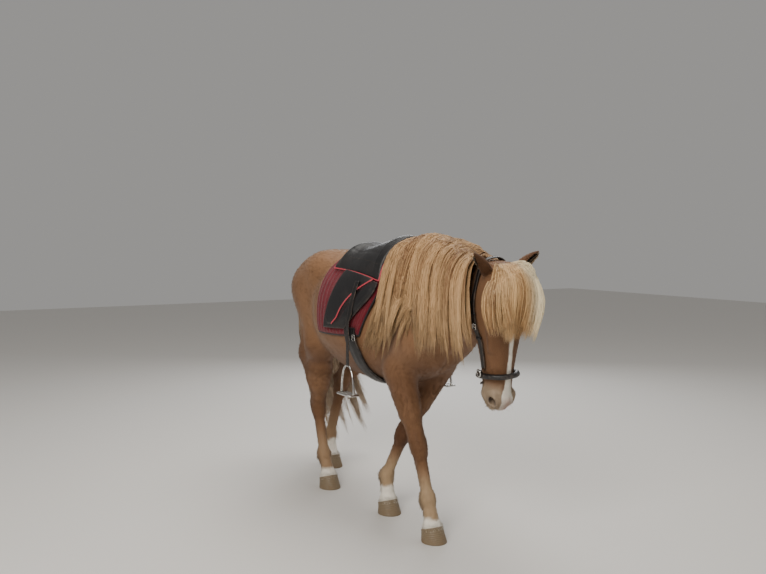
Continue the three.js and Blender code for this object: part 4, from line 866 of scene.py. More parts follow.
def surface_detail(points):
    """Muscle edges, veins and folds, as a height over the field in millimetres."""
    height = np.zeros(len(points))
    for s in (1, -1):
        on = points[:, 1] * s > -20
        p = points[on]
        h = np.zeros(len(p))
        h -= groove(p, [(470, 120 * s, 1255), (560, 130 * s, 1120), (600, 110 * s, 985)], 26, 7)
        h -= groove(p, [(250, 175 * s, 1210), (300, 185 * s, 1010), (330, 180 * s, 880)], 34, 7)
        h -= groove(p, [(880, 60 * s, 1110), (740, 75 * s, 1080), (620, 95 * s, 1040)], 16, 5)
        h -= groove(p, [(-300, 210 * s, 1180), (-325, 215 * s, 1020), (-330, 205 * s, 900)], 44, 9)
        h -= groove(p, [(-640, 130 * s, 1180), (-620, 170 * s, 1000), (-600, 160 * s, 800)], 22, 8)
        h -= groove(p, [(-500, 190 * s, 1060), (-470, 200 * s, 930), (-440, 190 * s, 840)], 24, 4)
        h += groove(p, [(-350, 165 * s, 1300), (-400, 175 * s, 1240)], 26, 5)
        h -= groove(p, [(470, 150 * s, 930), (400, 185 * s, 860)], 20, 5)
        height[on] += h
    height -= groove(points, [(660, 0, 1000), (640, 0, 880), (560, 0, 770)], 13, 9)
    height -= groove(points, [(-735, 0, 1150), (-740, 0, 1000), (-700, 0, 850)], 20, 14)
    local = to_head(points)
    for s in (1, -1):
        vein = [(28, 84 * s, -300), (12, 78 * s, -350), (8, 66 * s, -410), (30, 56 * s, -460)]
        height += groove(local, vein, 4, 1.6)
        height += groove(local, [(8, 66 * s, -410), (-14, 60 * s, -470)], 3.5, 1.4)
        height -= groove(local, [(46, 62 * s, -132), (38, 70 * s, -118)], 13, 7)
        height -= groove(local, [(52, 50 * s, -585), (46, 40 * s, -520), (52, 36 * s, -460)], 10,
                         2.5)
        for rise, deep in ((27, 1.6), (-27, 1.5)):
            fold_line = [(ex + 20, (ey - 12) * s, ez + rise * 0.75), (ex, (ey + 2) * s, ez + rise),
                         (ex - 22, (ey - 6) * s, ez + rise * 0.7)]
            height -= groove(local, fold_line, 3, deep)
    height -= groove(local, [(60, 0, -560), (50, 0, -612)], 4, 1.5)
    return height


skin_clock = time.time()
low, values = sample_grid(flesh, (-905, -320, 18), (1130, 320, 1440), CELL)
points, quads = surface_nets(low, values, CELL)
print("surface nets:", len(points), "points,", len(quads), "quads,",
      round(time.time() - skin_clock, 1), "s")

faces = [quads]
loose = []


def refine(points, quads, wanted):
    """One round of splitting, with the faces at its edge kept aside."""
    centre = points[quads].mean(axis=1)
    chosen = wanted(centre)
    points, parts, plain, mixed = split_faces(points, quads, chosen)
    loose.extend(mixed)
    faces[-1] = plain
    faces.append(parts)
    return points, parts


def on_head(centre):
    """In front of a slanting plane behind the jaw."""
    return (centre[:, 0] - 872) * 0.937 - (centre[:, 2] - 1300) * 0.14 > 0


def on_features(centre):
    local = to_head(centre)
    eyes = length(local * (1, 0, 1) - (ex, 0, ez)) < 46
    mouth = local[:, 2] < -500
    return eyes & (np.abs(local[:, 1]) > 55) | mouth


points, quads = refine(points, quads, on_head)
points, quads = refine(points, quads, on_features)
points = settle(flesh, points)
normals = gradient(flesh, points)
points = points + normals * surface_detail(points)[:, None]
print("skin:", len(points), "points,", sum(map(len, faces)) + len(loose), "faces,",
      round(time.time() - skin_clock, 1), "s")


# %% A mesh object from points and faces
def mesh_piece(name, points, faces, material):
    """A mesh in frame metres from body millimetres. faces is an array, or a list of such groups."""
    mesh = bpy.data.meshes.new(name)
    groups = faces if isinstance(faces, list) else [faces]
    loops, sizes = [], []
    for group in groups:
        if isinstance(group, np.ndarray):
            loops.append(group.ravel())
            sizes.append(np.full(len(group), group.shape[1]))
        else:
            loops.append(np.array([v for face in group for v in face], int))
            sizes.append(np.array([len(face) for face in group], int))
    loops, sizes = np.concatenate(loops), np.concatenate(sizes)
    at = placed(points).astype(np.float32)
    mesh.vertices.add(len(at))
    mesh.vertices.foreach_set("co", at.ravel())
    mesh.loops.add(len(loops))
    mesh.loops.foreach_set("vertex_index", loops.astype(np.int32))
    mesh.polygons.add(len(sizes))
    mesh.polygons.foreach_set("loop_start",
                              np.concatenate([[0], np.cumsum(sizes)[:-1]]).astype(np.int32))
    mesh.polygons.foreach_set("loop_total", sizes.astype(np.int32))
    mesh.update(calc_edges=True)
    mesh.validate()
    mesh.polygons.foreach_set("use_smooth", np.full(len(mesh.polygons), True))
    piece = new_object(name, mesh)
    mesh.materials.append(material)
    return piece


def give(piece, name, values, kind="FLOAT"):
    """Stores one value for each point of a piece."""
    attribute = piece.data.attributes.new(name, kind, "POINT")
    attribute.data.foreach_set("value" if kind == "FLOAT" else "vector",
                               np.asarray(values, np.float32).ravel())


# %% [markdown]
# ## Markings and the lie of the coat
#
# A horse's colour changes over its body: darker round knees and hocks, paler down the cannons, white
# over the hooves and down the face, bare grey and pink skin on the muzzle. Painted shade darkens the
# belly, the left foreleg's knee and forearm, the nostrils and the lips, and painted light pales the
# back. These are functions of place, so that the skin and each tuft that grows from it get the same
# colour. The lie of the coat is a function of place too: back along the barrel, down the legs, down
# the face.

# %% Markings by place
rng = np.random.default_rng(41)


def fade(value, low, high):
    t = np.clip((value - low) / (high - low), 0, 1)
    return t * t * (3 - 2 * t)


def wobble(points, scale, seed):
    """A smooth, seeded unevenness about zero, for edges that wander."""
    waves = np.random.default_rng(seed).normal(size=(6, 3)) / scale
    turns = np.random.default_rng(seed + 1).uniform(0, 2 * np.pi, 6)
    return np.sin(points @ waves.T * 2 + turns).mean(axis=1)


def knee_of(joints):
    return joints.get("knee", joints.get("hock"))


def elbow_of(joints):
    return joints.get("elbow", joints.get("stifle"))


def nearest_leg(points):
    """For each point, the number of the leg whose line of joints is closest."""
    reach = []
    for joints in LEGS.values():
        chain = [elbow_of(joints), knee_of(joints),
                 joints["fetlock"], joints["hoof"]]
        best = np.full(len(points), 1e9)
        for a, b in zip(chain[:-1], chain[1:]):
            axis = b - a
            t = np.clip((points - a) @ axis / (axis @ axis), 0, 1)
            best = np.minimum(best, length(points - a - t[:, None] * axis))
        reach.append(best)
    return np.argmin(reach, axis=0)


SOCKS = {"right_fore": 106, "left_fore": 142, "right_hind": 112, "left_hind": 170}


def coat_values(points):
    """dark, pale, white, bare, pink, painted hollow shade and downward at each point."""
    x, y, z = points.T
    leg = nearest_leg(points)
    local = to_head(points)
    lx, ly, lz = local.T
    at_head = fade(-head_field_cheap(points), -60, -20) * fade(x, 800, 880)
    low_leg = (1 - fade(z, 560, 760)) * (1 - at_head)
    dark = 0.32 + 0.16 * wobble(points, 240, 3)
    for name, joints in LEGS.items():
        knee = knee_of(joints)
        # The left foreleg's knee and forearm are darker still: painted shade for the shade that leg
        # stands in; the rest is the joints' own darker hair
        strong = 0.75 if name == "left_fore" else 0.42
        dark += strong * bell(length((points - knee) * (1, 1, 0.8)), 95)
        dark += 0.45 * strong * bell(length((points - knee - (0, 0, 170)) * (1, 1, 0.7)), 120)
    # painted shade: the lower barrel and belly are painted darker, for the shade under the body
    dark += 0.45 * (1 - fade(z, 720, 960)) * (1 - low_leg) * (1 - at_head)
    dark += 0.3 * at_head
    dark += 0.2 * bell(lz + 585, 40) * at_head
    # painted light: the back, crest and croup are painted lighter where light from above falls
    dark -= 0.2 * fade(z, 1150, 1330) * (1 - at_head)
    fetlock_z = np.array([joints["fetlock"][2] for joints in LEGS.values()])[leg]
    knee_z = np.array([knee_of(joints)[2] for joints in LEGS.values()])[leg]
    pale = (1 - fade(z, fetlock_z + 40, knee_z - 60)) * low_leg * np.where(x > 0, 0.85, 0.5)
    sock = np.array([SOCKS[name] for name in LEGS])[leg]
    edge = sock + 16 * wobble(points, 26, 5)
    white = (1 - fade(z, edge - 10, edge + 12)) * low_leg
    front = LEGS["right_fore"]["fetlock"] + (28, 0, -46)
    white *= 1 - 0.9 * bell(length(points - front), 22)
    blaze_half = np.interp(-lz, [60, 110, 200, 380, 470, 540, 580, 640],
                           [0, 18, 13, 10, 12, 20, 34, 26])
    blaze_half = blaze_half * (1 + 0.22 * wobble(local, 30, 9))
    middle = np.interp(-lz, [100, 300, 560, 640], [0, -2, 3, 6])
    blaze = (1 - fade(np.abs(ly - middle), blaze_half - 3, blaze_half + 3)) * fade(lx, 20, 34)
    white = np.maximum(white, blaze * at_head)
    muzzle = fade(-lz, 498, 556) * at_head
    bare = muzzle * fade(np.abs(ly), 14, 34) * 0.8
    bare = np.maximum(bare, fade(-lz, 600, 630) * at_head * 0.9)
    pink = fade(-lz, 560, 606) * at_head * bell(ly - 8, 26) * fade(lx, -6, 20) * 0.75
    for s in (1, -1):
        rim = length((local - (ex, (ey - 4) * s, ez)) * (0.8, 0.5, 1.1))
        bare = np.maximum(bare, 0.7 * bell(rim, 20, 4))
    # painted shade: near black in the nostrils and along the line of the lips, where these hollows
    # lie in shade
    painted_hollow_shade = np.zeros(len(points))
    for s in (1, -1):
        a, b = np.array((44, 74 * s, -604)), np.array((24, 50 * s, -588))
        t = np.clip((local - a) @ (b - a) / ((b - a) @ (b - a)), 0, 1)
        painted_hollow_shade = np.maximum(painted_hollow_shade, bell(length(local - a - t[:, None] * (b - a)), 22, 4))
    lips = np.hypot(lx + 16, lz + 628)
    painted_hollow_shade = np.maximum(painted_hollow_shade, 0.6 * bell(lips, 5) * at_head)
    between = bell(y, 40) * fade(-x, 705, 735) * (1 - fade(z, 1120, 1180)) * fade(z, 900, 1000)
    bare = np.maximum(bare, 0.55 * between)
    downward = np.clip(low_leg + at_head, 0, 1)
    return {"dark": np.clip(dark, 0, 1), "pale": pale, "white": white, "bare": bare, "pink": pink,
            "painted_hollow_shade": np.clip(painted_hollow_shade, 0, 1) * at_head, "downward": downward}


def head_field_cheap(points):
    return head_loft(to_head(points))


def mark(piece, points):
    for name, values in coat_values(points).items():
        give(piece, name, values)


# %% The lie of the coat
def lie(points, normals):
    """The direction in which the hair points, along the surface."""
    x, y, z = points.T
    flow = np.stack([np.full(len(x), -0.9), 0.15 * np.sign(y), np.full(len(x), -0.42)], 1)
    legs_part = (1 - fade(z, 640, 860))[:, None]
    flow = flow * (1 - legs_part) + np.array([-0.22, 0, -1.0]) * legs_part
    chest = (fade(x, 520, 620) * (1 - fade(x, 760, 860)) * (1 - fade(z, 1020, 1200)))[:, None]
    flow = flow * (1 - chest) + np.array([-0.1, 0, -1.0]) * chest
    rump = (1 - fade(x, -720, -600))[:, None]
    flow = flow * (1 - rump) + np.array([-0.15, 0, -1.0]) * rump
    face = (fade(-head_field_cheap(points), -60, -20) * fade(x, 820, 880))[:, None]
    down_face = -HEAD_AXES[2]
    local = to_head(points)
    jaw = fade(-local[:, 0], 10, 70)[:, None]
    flow = flow * (1 - face) + (down_face - HEAD_AXES[0] * 0.7 * jaw) * face
    flow = flow - normals * (flow * normals).sum(axis=1, keepdims=True)
    return unit(flow)


# %% The skin as an object
skin = mesh_piece("skin", points, [*faces, loose] if loose else faces, skin_look)
mark(skin, points)
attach(skin, "root")
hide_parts("torso", "neck", "head", "tail", *[leg + "_leg" for leg in LEGS])
skin_area = sum(p.area for p in skin.data.polygons)
print("skin triangles", sum(len(p.vertices) - 2 for p in skin.data.polygons), "area m2",
      round(skin_area, 2))

# %% [markdown]
# ## Short coat
#
# Short fur that lies flat is mostly bump in the skin's finish. Tufts break the outline on every
# side: each is a thin four-faced sliver with its root in the skin, lying along the coat. They are
# longest on the neck, belly and behind the fetlocks, and smallest on the face and feet.


# %% Roots scattered evenly over the skin, by area
def scatter(wanted, density):
    """Random places on the skin, "density" a weight for each face centre."""
    mesh = skin.data
    mesh.calc_loop_triangles()
    tri = np.zeros(len(mesh.loop_triangles) * 3, np.int32)
    mesh.loop_triangles.foreach_get("vertices", tri)
    tri = tri.reshape(-1, 3)
    a, b, c = points[tri[:, 0]], points[tri[:, 1]], points[tri[:, 2]]
    area = length(np.cross(b - a, c - a))
    weight = area * density((a + b + c) / 3)
    pick = rng.choice(len(tri), wanted, p=weight / weight.sum())
    u, v = rng.random(wanted), rng.random(wanted)
    flip = u + v > 1
    u[flip], v[flip] = 1 - u[flip], 1 - v[flip]
    t = tri[pick]
    at = points[t[:, 0]] + (points[t[:, 1]] - points[t[:, 0]]) * u[:, None] \
        + (points[t[:, 2]] - points[t[:, 0]]) * v[:, None]
    out = unit(point_normals[t[:, 0]] * (1 - u - v)[:, None] + point_normals[t[:, 1]] * u[:, None]
               + point_normals[t[:, 2]] * v[:, None])
    return at, out


point_normals = np.zeros(len(skin.data.vertices) * 3, np.float32)
skin.data.vertex_normals.foreach_get("vector", point_normals)
point_normals = point_normals.reshape(-1, 3).astype(float)


# %% A place for each root on an unwrap of the skin
def unwrap(points):
    """Charts by part: round the barrel and neck, round the head, round each leg."""
    x, y, z = points.T
    leg = nearest_leg(points)
    local = to_head(points)
    at_head = (head_field_cheap(points) < 40) & (x > 860)
    round_barrel = np.arctan2(y, z - 1000) / (2 * np.pi) + 0.5
    u = (x + 920) / 2080 * 0.96 + 0.02
    v = 0.52 + 0.46 * round_barrel
    joints = list(LEGS.values())
    spine = np.array([
        [np.interp(h, [0, j["fetlock"][2], knee_of(j)[2], 760],
                   [j["hoof"][i], j["fetlock"][i], knee_of(j)[i],
                    elbow_of(j)[i]]) for h in range(0, 800, 8)]
        for j in joints for i in (0, 1)
    ]).reshape(4, 2, -1)
    step = np.clip(z / 8, 0, 98).astype(int)
    on_leg = z < 700
    turn = np.arctan2(y - spine[leg, 1, step], x - spine[leg, 0, step]) / (2 * np.pi) + 0.5
    u = np.where(on_leg, 0.02 + 0.24 * leg + 0.22 * turn, u)
    v = np.where(on_leg, 0.02 + 0.23 * z / 700, v)
    turn = np.arctan2(local[:, 1], local[:, 0] + 20) / (2 * np.pi) + 0.5
    u = np.where(at_head, 0.02 + 0.96 * turn, u)
    v = np.where(at_head, 0.28 + 0.22 * np.clip(-local[:, 2] / 660, -0.08, 1), v)
    return np.stack([u, v], 1)


def bake_map(piece, corners_of, roots, patch=0.003):
    """OFBake: every strand's corners are spread over one small patch at its root's place."""
    layer = piece.data.uv_layers.new(name="OFBake")
    loops = np.zeros(len(piece.data.loops), np.int32)
    piece.data.loops.foreach_get("vertex_index", loops)
    strand, across = corners_of(loops)
    layer.data.foreach_set("uv",
                           (unwrap(roots)[strand] + across * patch).astype(np.float32).ravel())


# %% Tufts: four-faced slivers
def slivers(name, roots, out, way, long, wide, rise):
    """One sliver for each root: its base sunk in the skin, its tip "rise" over it."""
    side = unit(np.cross(way, out))
    long, wide, rise = (np.asarray(v)[:, None] for v in (long, wide, rise))
    base = roots - out * 0.9
    at = np.stack([
        base - side * wide / 2,
        base + side * wide / 2,
        roots + way * long * 0.42 + out * (rise * 0.8 + 0.5),
        roots + way * long + out * rise,
    ], 1)
    first = np.arange(len(roots))[:, None] * 4
    solid = np.array([(0, 2, 1), (0, 3, 2), (1, 2, 3), (0, 1, 3)])
    corners = (first[:, None] + solid[None]).reshape(-1, 3)
    piece = mesh_piece(name, at.reshape(-1, 3), corners, tufts_look)
    give(piece, "skin_out", np.repeat(out, 4, axis=0), "FLOAT_VECTOR")
    give(piece, "strand", np.repeat(rng.random(len(roots)), 4))
    give(piece, "along", np.tile([0.0, 0.0, 0.45, 1.0], len(roots)))
    spots = np.array([(0, 0), (0, 1), (0.5, 0.5), (1, 0.5)])
    bake_map(piece, lambda loops: (loops // 4, spots[loops % 4]), roots)
    return piece


def tufts(name, wanted, density, long, wide, rise):
    """wanted tufts; long, wide and rise are millimetres, or functions of the roots."""
    roots, out = scatter(wanted, density)
    way = lie(roots, out)
    way = unit(way + 0.16 * rng.normal(size=way.shape))
    long, wide, rise = (v(roots) if callable(v) else v for v in (long, wide, rise))
    piece = slivers(name, roots, out, way, long * rng.uniform(0.75, 1.25, len(roots)),
                    wide * rng.uniform(0.8, 1.2, len(roots)),
                    rise * rng.uniform(0.5, 1.4, len(roots)))
    for key, values in coat_values(roots).items():
        give(piece, key, np.repeat(values, 4))
    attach(piece, "root")
    print(name, wanted, "tufts")


def at_face(p):
    return fade(-head_field_cheap(p), -50, -10) * fade(p[:, 0], 840, 890)


def no_tack(p):
    """No tufts where the pad lies, or on bare lips, nostrils and eyes."""
    under_pad = (p[:, 0] < 320) & (p[:, 0] > -200) & (p[:, 2] > 940)
    local = to_head(p)
    eyes = length((local * (1, 0, 1)) - (ex, 0, ez)) < 23
    eyes &= np.abs(local[:, 1]) > 60
    nostril = coat_values(p)["painted_hollow_shade"] > 0.15
    return np.where(under_pad | eyes | nostril, 0, 1.0)


def long_coat(p):
    """Longest at the throat, belly and elbow, short on the face and the lower legs."""
    z = p[:, 2]
    face = at_face(p)
    jaw = fade(-to_head(p)[:, 0], 60, 120) * face
    legs_low = 1 - fade(z, 180, 620)
    size = 17 - 5 * legs_low - 9 * face + 8 * jaw
    size += 7 * (1 - fade(z, 680, 760)) * fade(z, 640, 690)
    size -= 4 * (1 - fade(z, 60, 120))
    return size


TUFTS = {"coat_barrel": 38000, "coat_legs": 30000, "coat_head": 27000, "coronet_hair": 9000,
         "fetlock_feather": 5000}
tufts("coat_barrel", TUFTS["coat_barrel"],
      lambda p: no_tack(p) * (1 - at_face(p)) * fade(p[:, 2], 640, 660), long_coat, 2.1, 1.1)
tufts("coat_legs", TUFTS["coat_legs"], lambda p: 1 - fade(p[:, 2], 640, 720), long_coat, 1.7, 1.0)
tufts("coat_head", TUFTS["coat_head"],
      lambda p: no_tack(p) * at_face(p) * (1 + 2 * fade(-to_head(p)[:, 2], 480, 560)),
      long_coat, 1.5, lambda p: 0.6 + 1.6 * fade(-to_head(p)[:, 0], 70, 130))
print("coat made,", round(time.time() - STARTED), "s in all")

# %% [markdown]
# ## Mane, forelock and tail
#
# Long hair hangs in locks, and each lock is many strands. First a guide is laid for each lock: it
# leaves its root, bends towards its fall, and is pushed out wherever it would sink into the body or
# the pad. Then strands are set round each guide, wide at the root and drawn together at the tip. Each
# strand is a thin closed prism, because the export keeps meshes and drops hair systems.


# %% Guides
def hit(field, start, way, rounds=60):
    """Where rays first meet a field."""
    start, way = np.asarray(start, float), unit(way)
    reach = np.zeros(len(start))
    for _ in range(rounds):
        reach += np.maximum(field(start + way * reach[:, None]), 0) * 0.6
    at = start + way * reach[:, None]
    return at, gradient(field, at)


ear_bodies = [
    limb(from_head(ear_root(e["side"])),
         from_head(ear_root(e["side"]) + unit(e["way"]) * EAR_LENGTH), 34, 22, 1)
    for e in EARS.values()
]


def coat_field(p):
    return fold(ear_bodies, p, flesh(p), lambda a, b, k: np.minimum(a, b))


STEPS = 21


def drape(roots, way, long, pull, fall, clear, floor=8.0):
    """Guides from their roots: an array of guide by step by xyz, and the surface normals there."""
    at, heading = np.array(roots, float), unit(way)
    line, outs = [at], [gradient(coat_field, at, 4)]
    for i in range(1, STEPS + 1):
        t = i / STEPS
        heading = unit(heading + fall(t) * pull)
        ahead = at + heading * (long / STEPS)[:, None]
        for _ in range(2):
            short = clear(t, ahead) - coat_field(ahead)
            ahead = ahead + gradient(coat_field, ahead, 4) * np.maximum(short, 0)[:, None]
        ahead[:, 2] = np.maximum(ahead[:, 2], floor)
        heading = unit(ahead - at)
        at = ahead
        line.append(at)
        outs.append(gradient(coat_field, at, 4))
    return np.stack(line, 1), np.stack(outs, 1)


PAD = {"frontTop": 346, "frontLow": 200, "back": -215, "wrap": 107, "inner": 9, "thick": 9}


def over_pad(p):
    front = lerp(PAD["frontLow"], PAD["frontTop"], np.clip((p[:, 2] - 930) / 420, 0, 1))
    return np.clip((front + 50 - p[:, 0]) / 50, 0, 1)


# %% Strands round a guide
def prisms(total, steps):
    """Faces of many closed three-sided prisms: steps - 1 rings of three points, then the tip."""
    count, last = 3 * (steps - 1) + 1, 3 * (steps - 2)
    pattern = []
    for k in range(0, last, 3):
        for c, d in ((0, 1), (1, 2), (2, 0)):
            pattern += [(k + c, k + d, k + 3 + d), (k + c, k + 3 + d, k + 3 + c)]
    pattern += [(last, last + 1, count - 1), (last + 1, last + 2, count - 1),
                (last + 2, last, count - 1)]
    pattern += [(0, 2, 1)]
    return (np.arange(total)[:, None, None] * count + np.array(pattern)).reshape(-1, 3)


def strands(name, guides, outs, each, width, thick, hair, look, wave, draw, split, points_along,
            bright, root=0.55):
    """A mesh of strands. width and thick are a lock's half sizes, hair the width of one strand."""
    locks = len(guides)
    total = locks * each
    lock = np.repeat(np.arange(locks), each)
    place = np.sqrt(rng.random(total))
    turn = rng.uniform(0, 2 * np.pi, total)
    across, deep = place * np.cos(turn), np.abs(place * np.sin(turn))
    reach = np.clip(1 - 0.42 * rng.random(total) ** 2.2 - split * rng.random(total) * (place > 0.5),
                    0.25, 1)
    phase = rng.uniform(0, 2 * np.pi, (total, 2))
    beat = rng.uniform(0.7, 1.6, total)
    lock_phase = np.repeat(rng.uniform(0, 2 * np.pi, locks), each)
    centre, side, out = [], [], []
    at = np.linspace(0, 1, points_along)
    for t in at:
        s = t * reach * STEPS
        i = np.minimum(s.astype(int), STEPS - 1)
        f = (s - i)[:, None]
        here = guides[lock, i] * (1 - f) + guides[lock, i + 1] * f
        ahead = unit(guides[lock, i + 1] - guides[lock, i])
        up = unit(outs[lock, i] * (1 - f) + outs[lock, i + 1] * f)
        flat = unit(np.cross(ahead, up))
        up = np.cross(flat, ahead)
        grow = root + (1 - root) * min(1, t * 3.2)
        gather = (1 - draw * t**1.7) * grow
        sway = wave * t * (np.sin(beat * 2 * np.pi * t + phase[:, 0]) * 0.5
                           + 0.9 * np.sin(1.3 * 2 * np.pi * t + lock_phase))
        bob = 0.35 * wave * t * np.sin(beat * 2 * np.pi * t + phase[:, 1])
        shift = flat * (across * width * gather + sway)[:, None] \
            + up * (deep * thick * min(1.0, 0.15 + 2.2 * t) * (1 - 0.35 * t)
                    + np.abs(bob) * 0.5)[:, None]
        centre.append(here + shift)
        side.append(flat)
        out.append(up)
    centre, side, out = np.stack(centre, 1), np.stack(side, 1), np.stack(out, 1)
    taper = np.array([1.0 - 0.15 * t - 0.6 * t**3 for t in at[:-1]])
    half = (hair * rng.uniform(0.65, 1.35, total))[:, None] / 2 * taper
    body, a, b = centre[:, :-1], side[:, :-1] * half[..., None], out[:, :-1] * half[..., None]
    ring = np.stack([body - a - b * 0.35, body + a - b * 0.35, body + b * 0.75], 2)
    count = 3 * (points_along - 1) + 1
    vertices = np.concatenate([ring.reshape(total, -1, 3), centre[:, -1:]], 1)
    corners = prisms(total, points_along)
    piece = mesh_piece(name, vertices.reshape(-1, 3), corners, look)
    lock_tone = np.repeat(rng.random(locks), each)
    own = np.clip(0.45 * lock_tone + 0.55 * rng.random(total), 0, 1)
    give(piece, "strand", np.repeat(own, count))
    give(piece, "along", np.tile(np.concatenate([np.repeat(at[:-1], 3), [1.0]]), total))
    give(piece, "bright", np.clip(bright(vertices.reshape(-1, 3)), 0, 1))
    spread = np.concatenate([np.stack([np.repeat(at[:-1], 3),
                                       np.tile([0, 0.5, 1.0], points_along - 1)], 1),
                             [(1.0, 0.5)]])
    bake_map(piece, lambda loops: (loops // count, spread[loops % count]), guides[lock, 0])
    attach(piece, "root")
    print(name, total, "strands,", len(corners), "triangles")


# %% Mane
MANE = {"from": 398, "to": 912, "long": 715, "thick lock": 106, "thin lock": 56}
mane_layers = [
    # locks, side, start across the crest, height over the coat, share of the length
    (26, -1, -20, 5, 1.0),
    (26, -1, -8, 15, 0.98),
    (26, -1, 4, 27, 0.93),
    (16, 1, 24, 6, 0.5),
]


def mane_guides(count, side, start, height, long):
    share = (np.arange(count) + 0.5 + rng.uniform(-0.35, 0.35, count)) / count
    x = lerp(MANE["from"], MANE["to"], share)
    across = lerp(0, 8, share) + start + rng.uniform(-3, 3, count)
    above = np.stack([x, across, np.full(count, 1600.0)], 1)
    roots, _ = hit(flesh, above, np.tile([0, 0, -1.0], (count, 1)))
    drift = 0.08 - 0.4 * (1 - share) ** 1.4 + 0.13 * share**6 + 0.04 * rng.normal(size=count)

    def fall(t):
        swing = 0.1 * np.sin(2 * np.pi * (t * 1.1 + share * 7.3))
        return np.stack([drift * (0.05 + 1.65 * t) + swing * t, 0 * drift, -np.ones(count)], 1)

    def clear(t, at):
        return 3 + height * min(1, t * 4) + 36 * over_pad(at)

    lengths = MANE["long"] * long * rng.uniform(0.84, 1.08, count) * lerp(1.02, 0.78, share)
    way = np.stack([0 * x, np.full(count, side * 0.55), np.full(count, 0.75)], 1)
    return drape(roots, way, lengths, 0.42, fall, clear)


for n, layer in enumerate(mane_layers):
    strands(f"mane_{n + 1}", *mane_guides(*layer),
            MANE["thick lock" if layer[1] < 0 else "thin lock"],
            width=29, thick=9, hair=3.0, look=mane_look, wave=8, draw=0.55, split=0.16,
            points_along=9, bright=lambda p: 0.35 * fade(1300 - p[:, 2], 0, 380))


# %% Forelock: a thick fringe that fans from the poll over the forehead and the eyes
FORELOCK = {"long": 362, "lock": 56}
forelock_layers = [
    # locks, spread in degrees, height over the coat, share of the length
    (17, 98, 10, 1.0),
    (16, 90, 22, 0.99),
    (15, 80, 34, 0.96),
    (12, 66, 44, 0.92),
]


def forelock_guides(layer, count, spread, height, long):
    share = np.linspace(-1, 1, count) + rng.uniform(-0.05, 0.05, count)
    turn = np.radians(share * spread - 5)
    above = from_head(np.stack([np.full(count, 12.0 + 8 * layer), share * 58, np.full(count, 80.0)],
                               1))
    roots, _ = hit(flesh, above, np.tile([0, 0, -1.0], (count, 1)))
    out = np.stack([np.cos(turn), np.sin(turn), 0 * turn], 1) @ HEAD_AXES
    way = unit(np.stack([np.cos(turn), np.sin(turn), 0 * turn + 0.5], 1) @ HEAD_AXES)
    lengths = (FORELOCK["long"] * long * rng.uniform(0.9, 1.06, count)
               * (1 - 0.26 * fade(-share, 0.25, 1)))

    def fall(t):
        return np.array([0, 0, -1.0]) + out * (0.04 if t < 0.4 else -0.3)

    def clear(t, _):
        wide = height + np.where(share < 0, 54, 10) * share**2
        return 7 + wide * math.sin(math.pi * min(1, max(0, 0.12 + t * 0.8)))

    return drape(roots, way, lengths, 0.42, fall, clear)


guides, outs = zip(*[forelock_guides(n, *row) for n, row in enumerate(forelock_layers)])
guides, outs = np.concatenate(guides), np.concatenate(outs)
strands("forelock", guides, outs, FORELOCK["lock"], width=20, thick=10, hair=2.6,
        look=forelock_look, wave=4, draw=0.4,
        split=0.0, points_along=9, bright=lambda p: fade(to_head(p)[:, 1], 6, 84))


# %% Tail: strands all round the dock, swinging out to the left
TAIL = {"count": 44, "long": 1040, "swing": 0.375, "lock": 106, "floor": 62}


def tail_guides(count):
    n = np.arange(count)
    along = 0.5 + 0.47 * ((n * 0.618) % 1)
    turn = n / count * 2 * np.pi
    spine = DOCK_FROM + (DOCK_TO - DOCK_FROM) * along[:, None]
    out = unit(np.stack([0.55 * np.cos(turn), np.sin(turn), 0.75 * np.cos(turn)], 1))
    roots, _ = hit(body_field, spine + out * 60, -out)
    swing = TAIL["swing"] * (0.8 + 0.2 * np.sin(turn) + 0.62 * rng.random(count))
    way = out * 0.5 + [-0.6, 0.1, -0.7]
    lengths = TAIL["long"] * rng.uniform(0.78, 1.04, count)

    def fall(t):
        wind = 0.1 * np.sin(2 * np.pi * (t * 0.9 + n * 0.37))
        return np.stack([-0.06 + 0.08 * t + wind * t, swing * (0.5 + 0.6 * t), -np.ones(count)], 1)

    def clear(t, _):
        return 6 + 14 * min(1, 3 * t)

    return drape(roots, way, lengths, 0.4, fall, clear, TAIL["floor"])


guides, outs = tail_guides(TAIL["count"])
half = TAIL["count"] // 2
order = rng.permutation(TAIL["count"])
for n, part in enumerate((order[:half], order[half:])):
    strands(f"tail_{n + 1}", guides[part], outs[part], TAIL["lock"], width=30, thick=22, hair=3.5,
            look=tail_look, wave=15, draw=0.3, split=0.45, points_along=10, root=0.35,
            bright=lambda p: 0.6 * fade(1000 - p[:, 2], 100, 700))
print("hair made,", round(time.time() - STARTED), "s in all")

# %% [markdown]
# ## Leather, cloth and steel
#
# The tack is black leather with a red piping, a maroon cloth pad bound in black, and bright steel.
# Leather is nearly black, so its grain and its worn edges have to carry it. Each piece stores how
# close a point is to its edge, and one group turns that into paler, rougher leather. The grain and
# the weave are groups as well, because the saddle, the straps and the pad share them.

# %% Groups: leather grain, worn edges, woven threads
grain, given, result = new_group(
    "leather_grain",
    [("Size", "NodeSocketFloat", 420.0), ("Creases", "NodeSocketFloat", 0.5)],
    [("Height", "NodeSocketFloat"), ("Rough", "NodeSocketFloat")],
)
place = object_place(grain)
cells = node(grain, "ShaderNodeTexVoronoi", feature="DISTANCE_TO_EDGE",
             links={"Vector": place, "Scale": given.outputs["Size"]}).outputs["Distance"]
creases = noise(grain, place, 34.0, 5.0, 0.62)
height = plus(grain, ramp(grain, cells, 0.0, 0.34),
              times(grain, creases, given.outputs["Creases"]))
grain.links.new(height, result.inputs["Height"])
grain.links.new(plus(grain, times(grain, creases, 0.36), 0.2),
                result.inputs["Rough"])

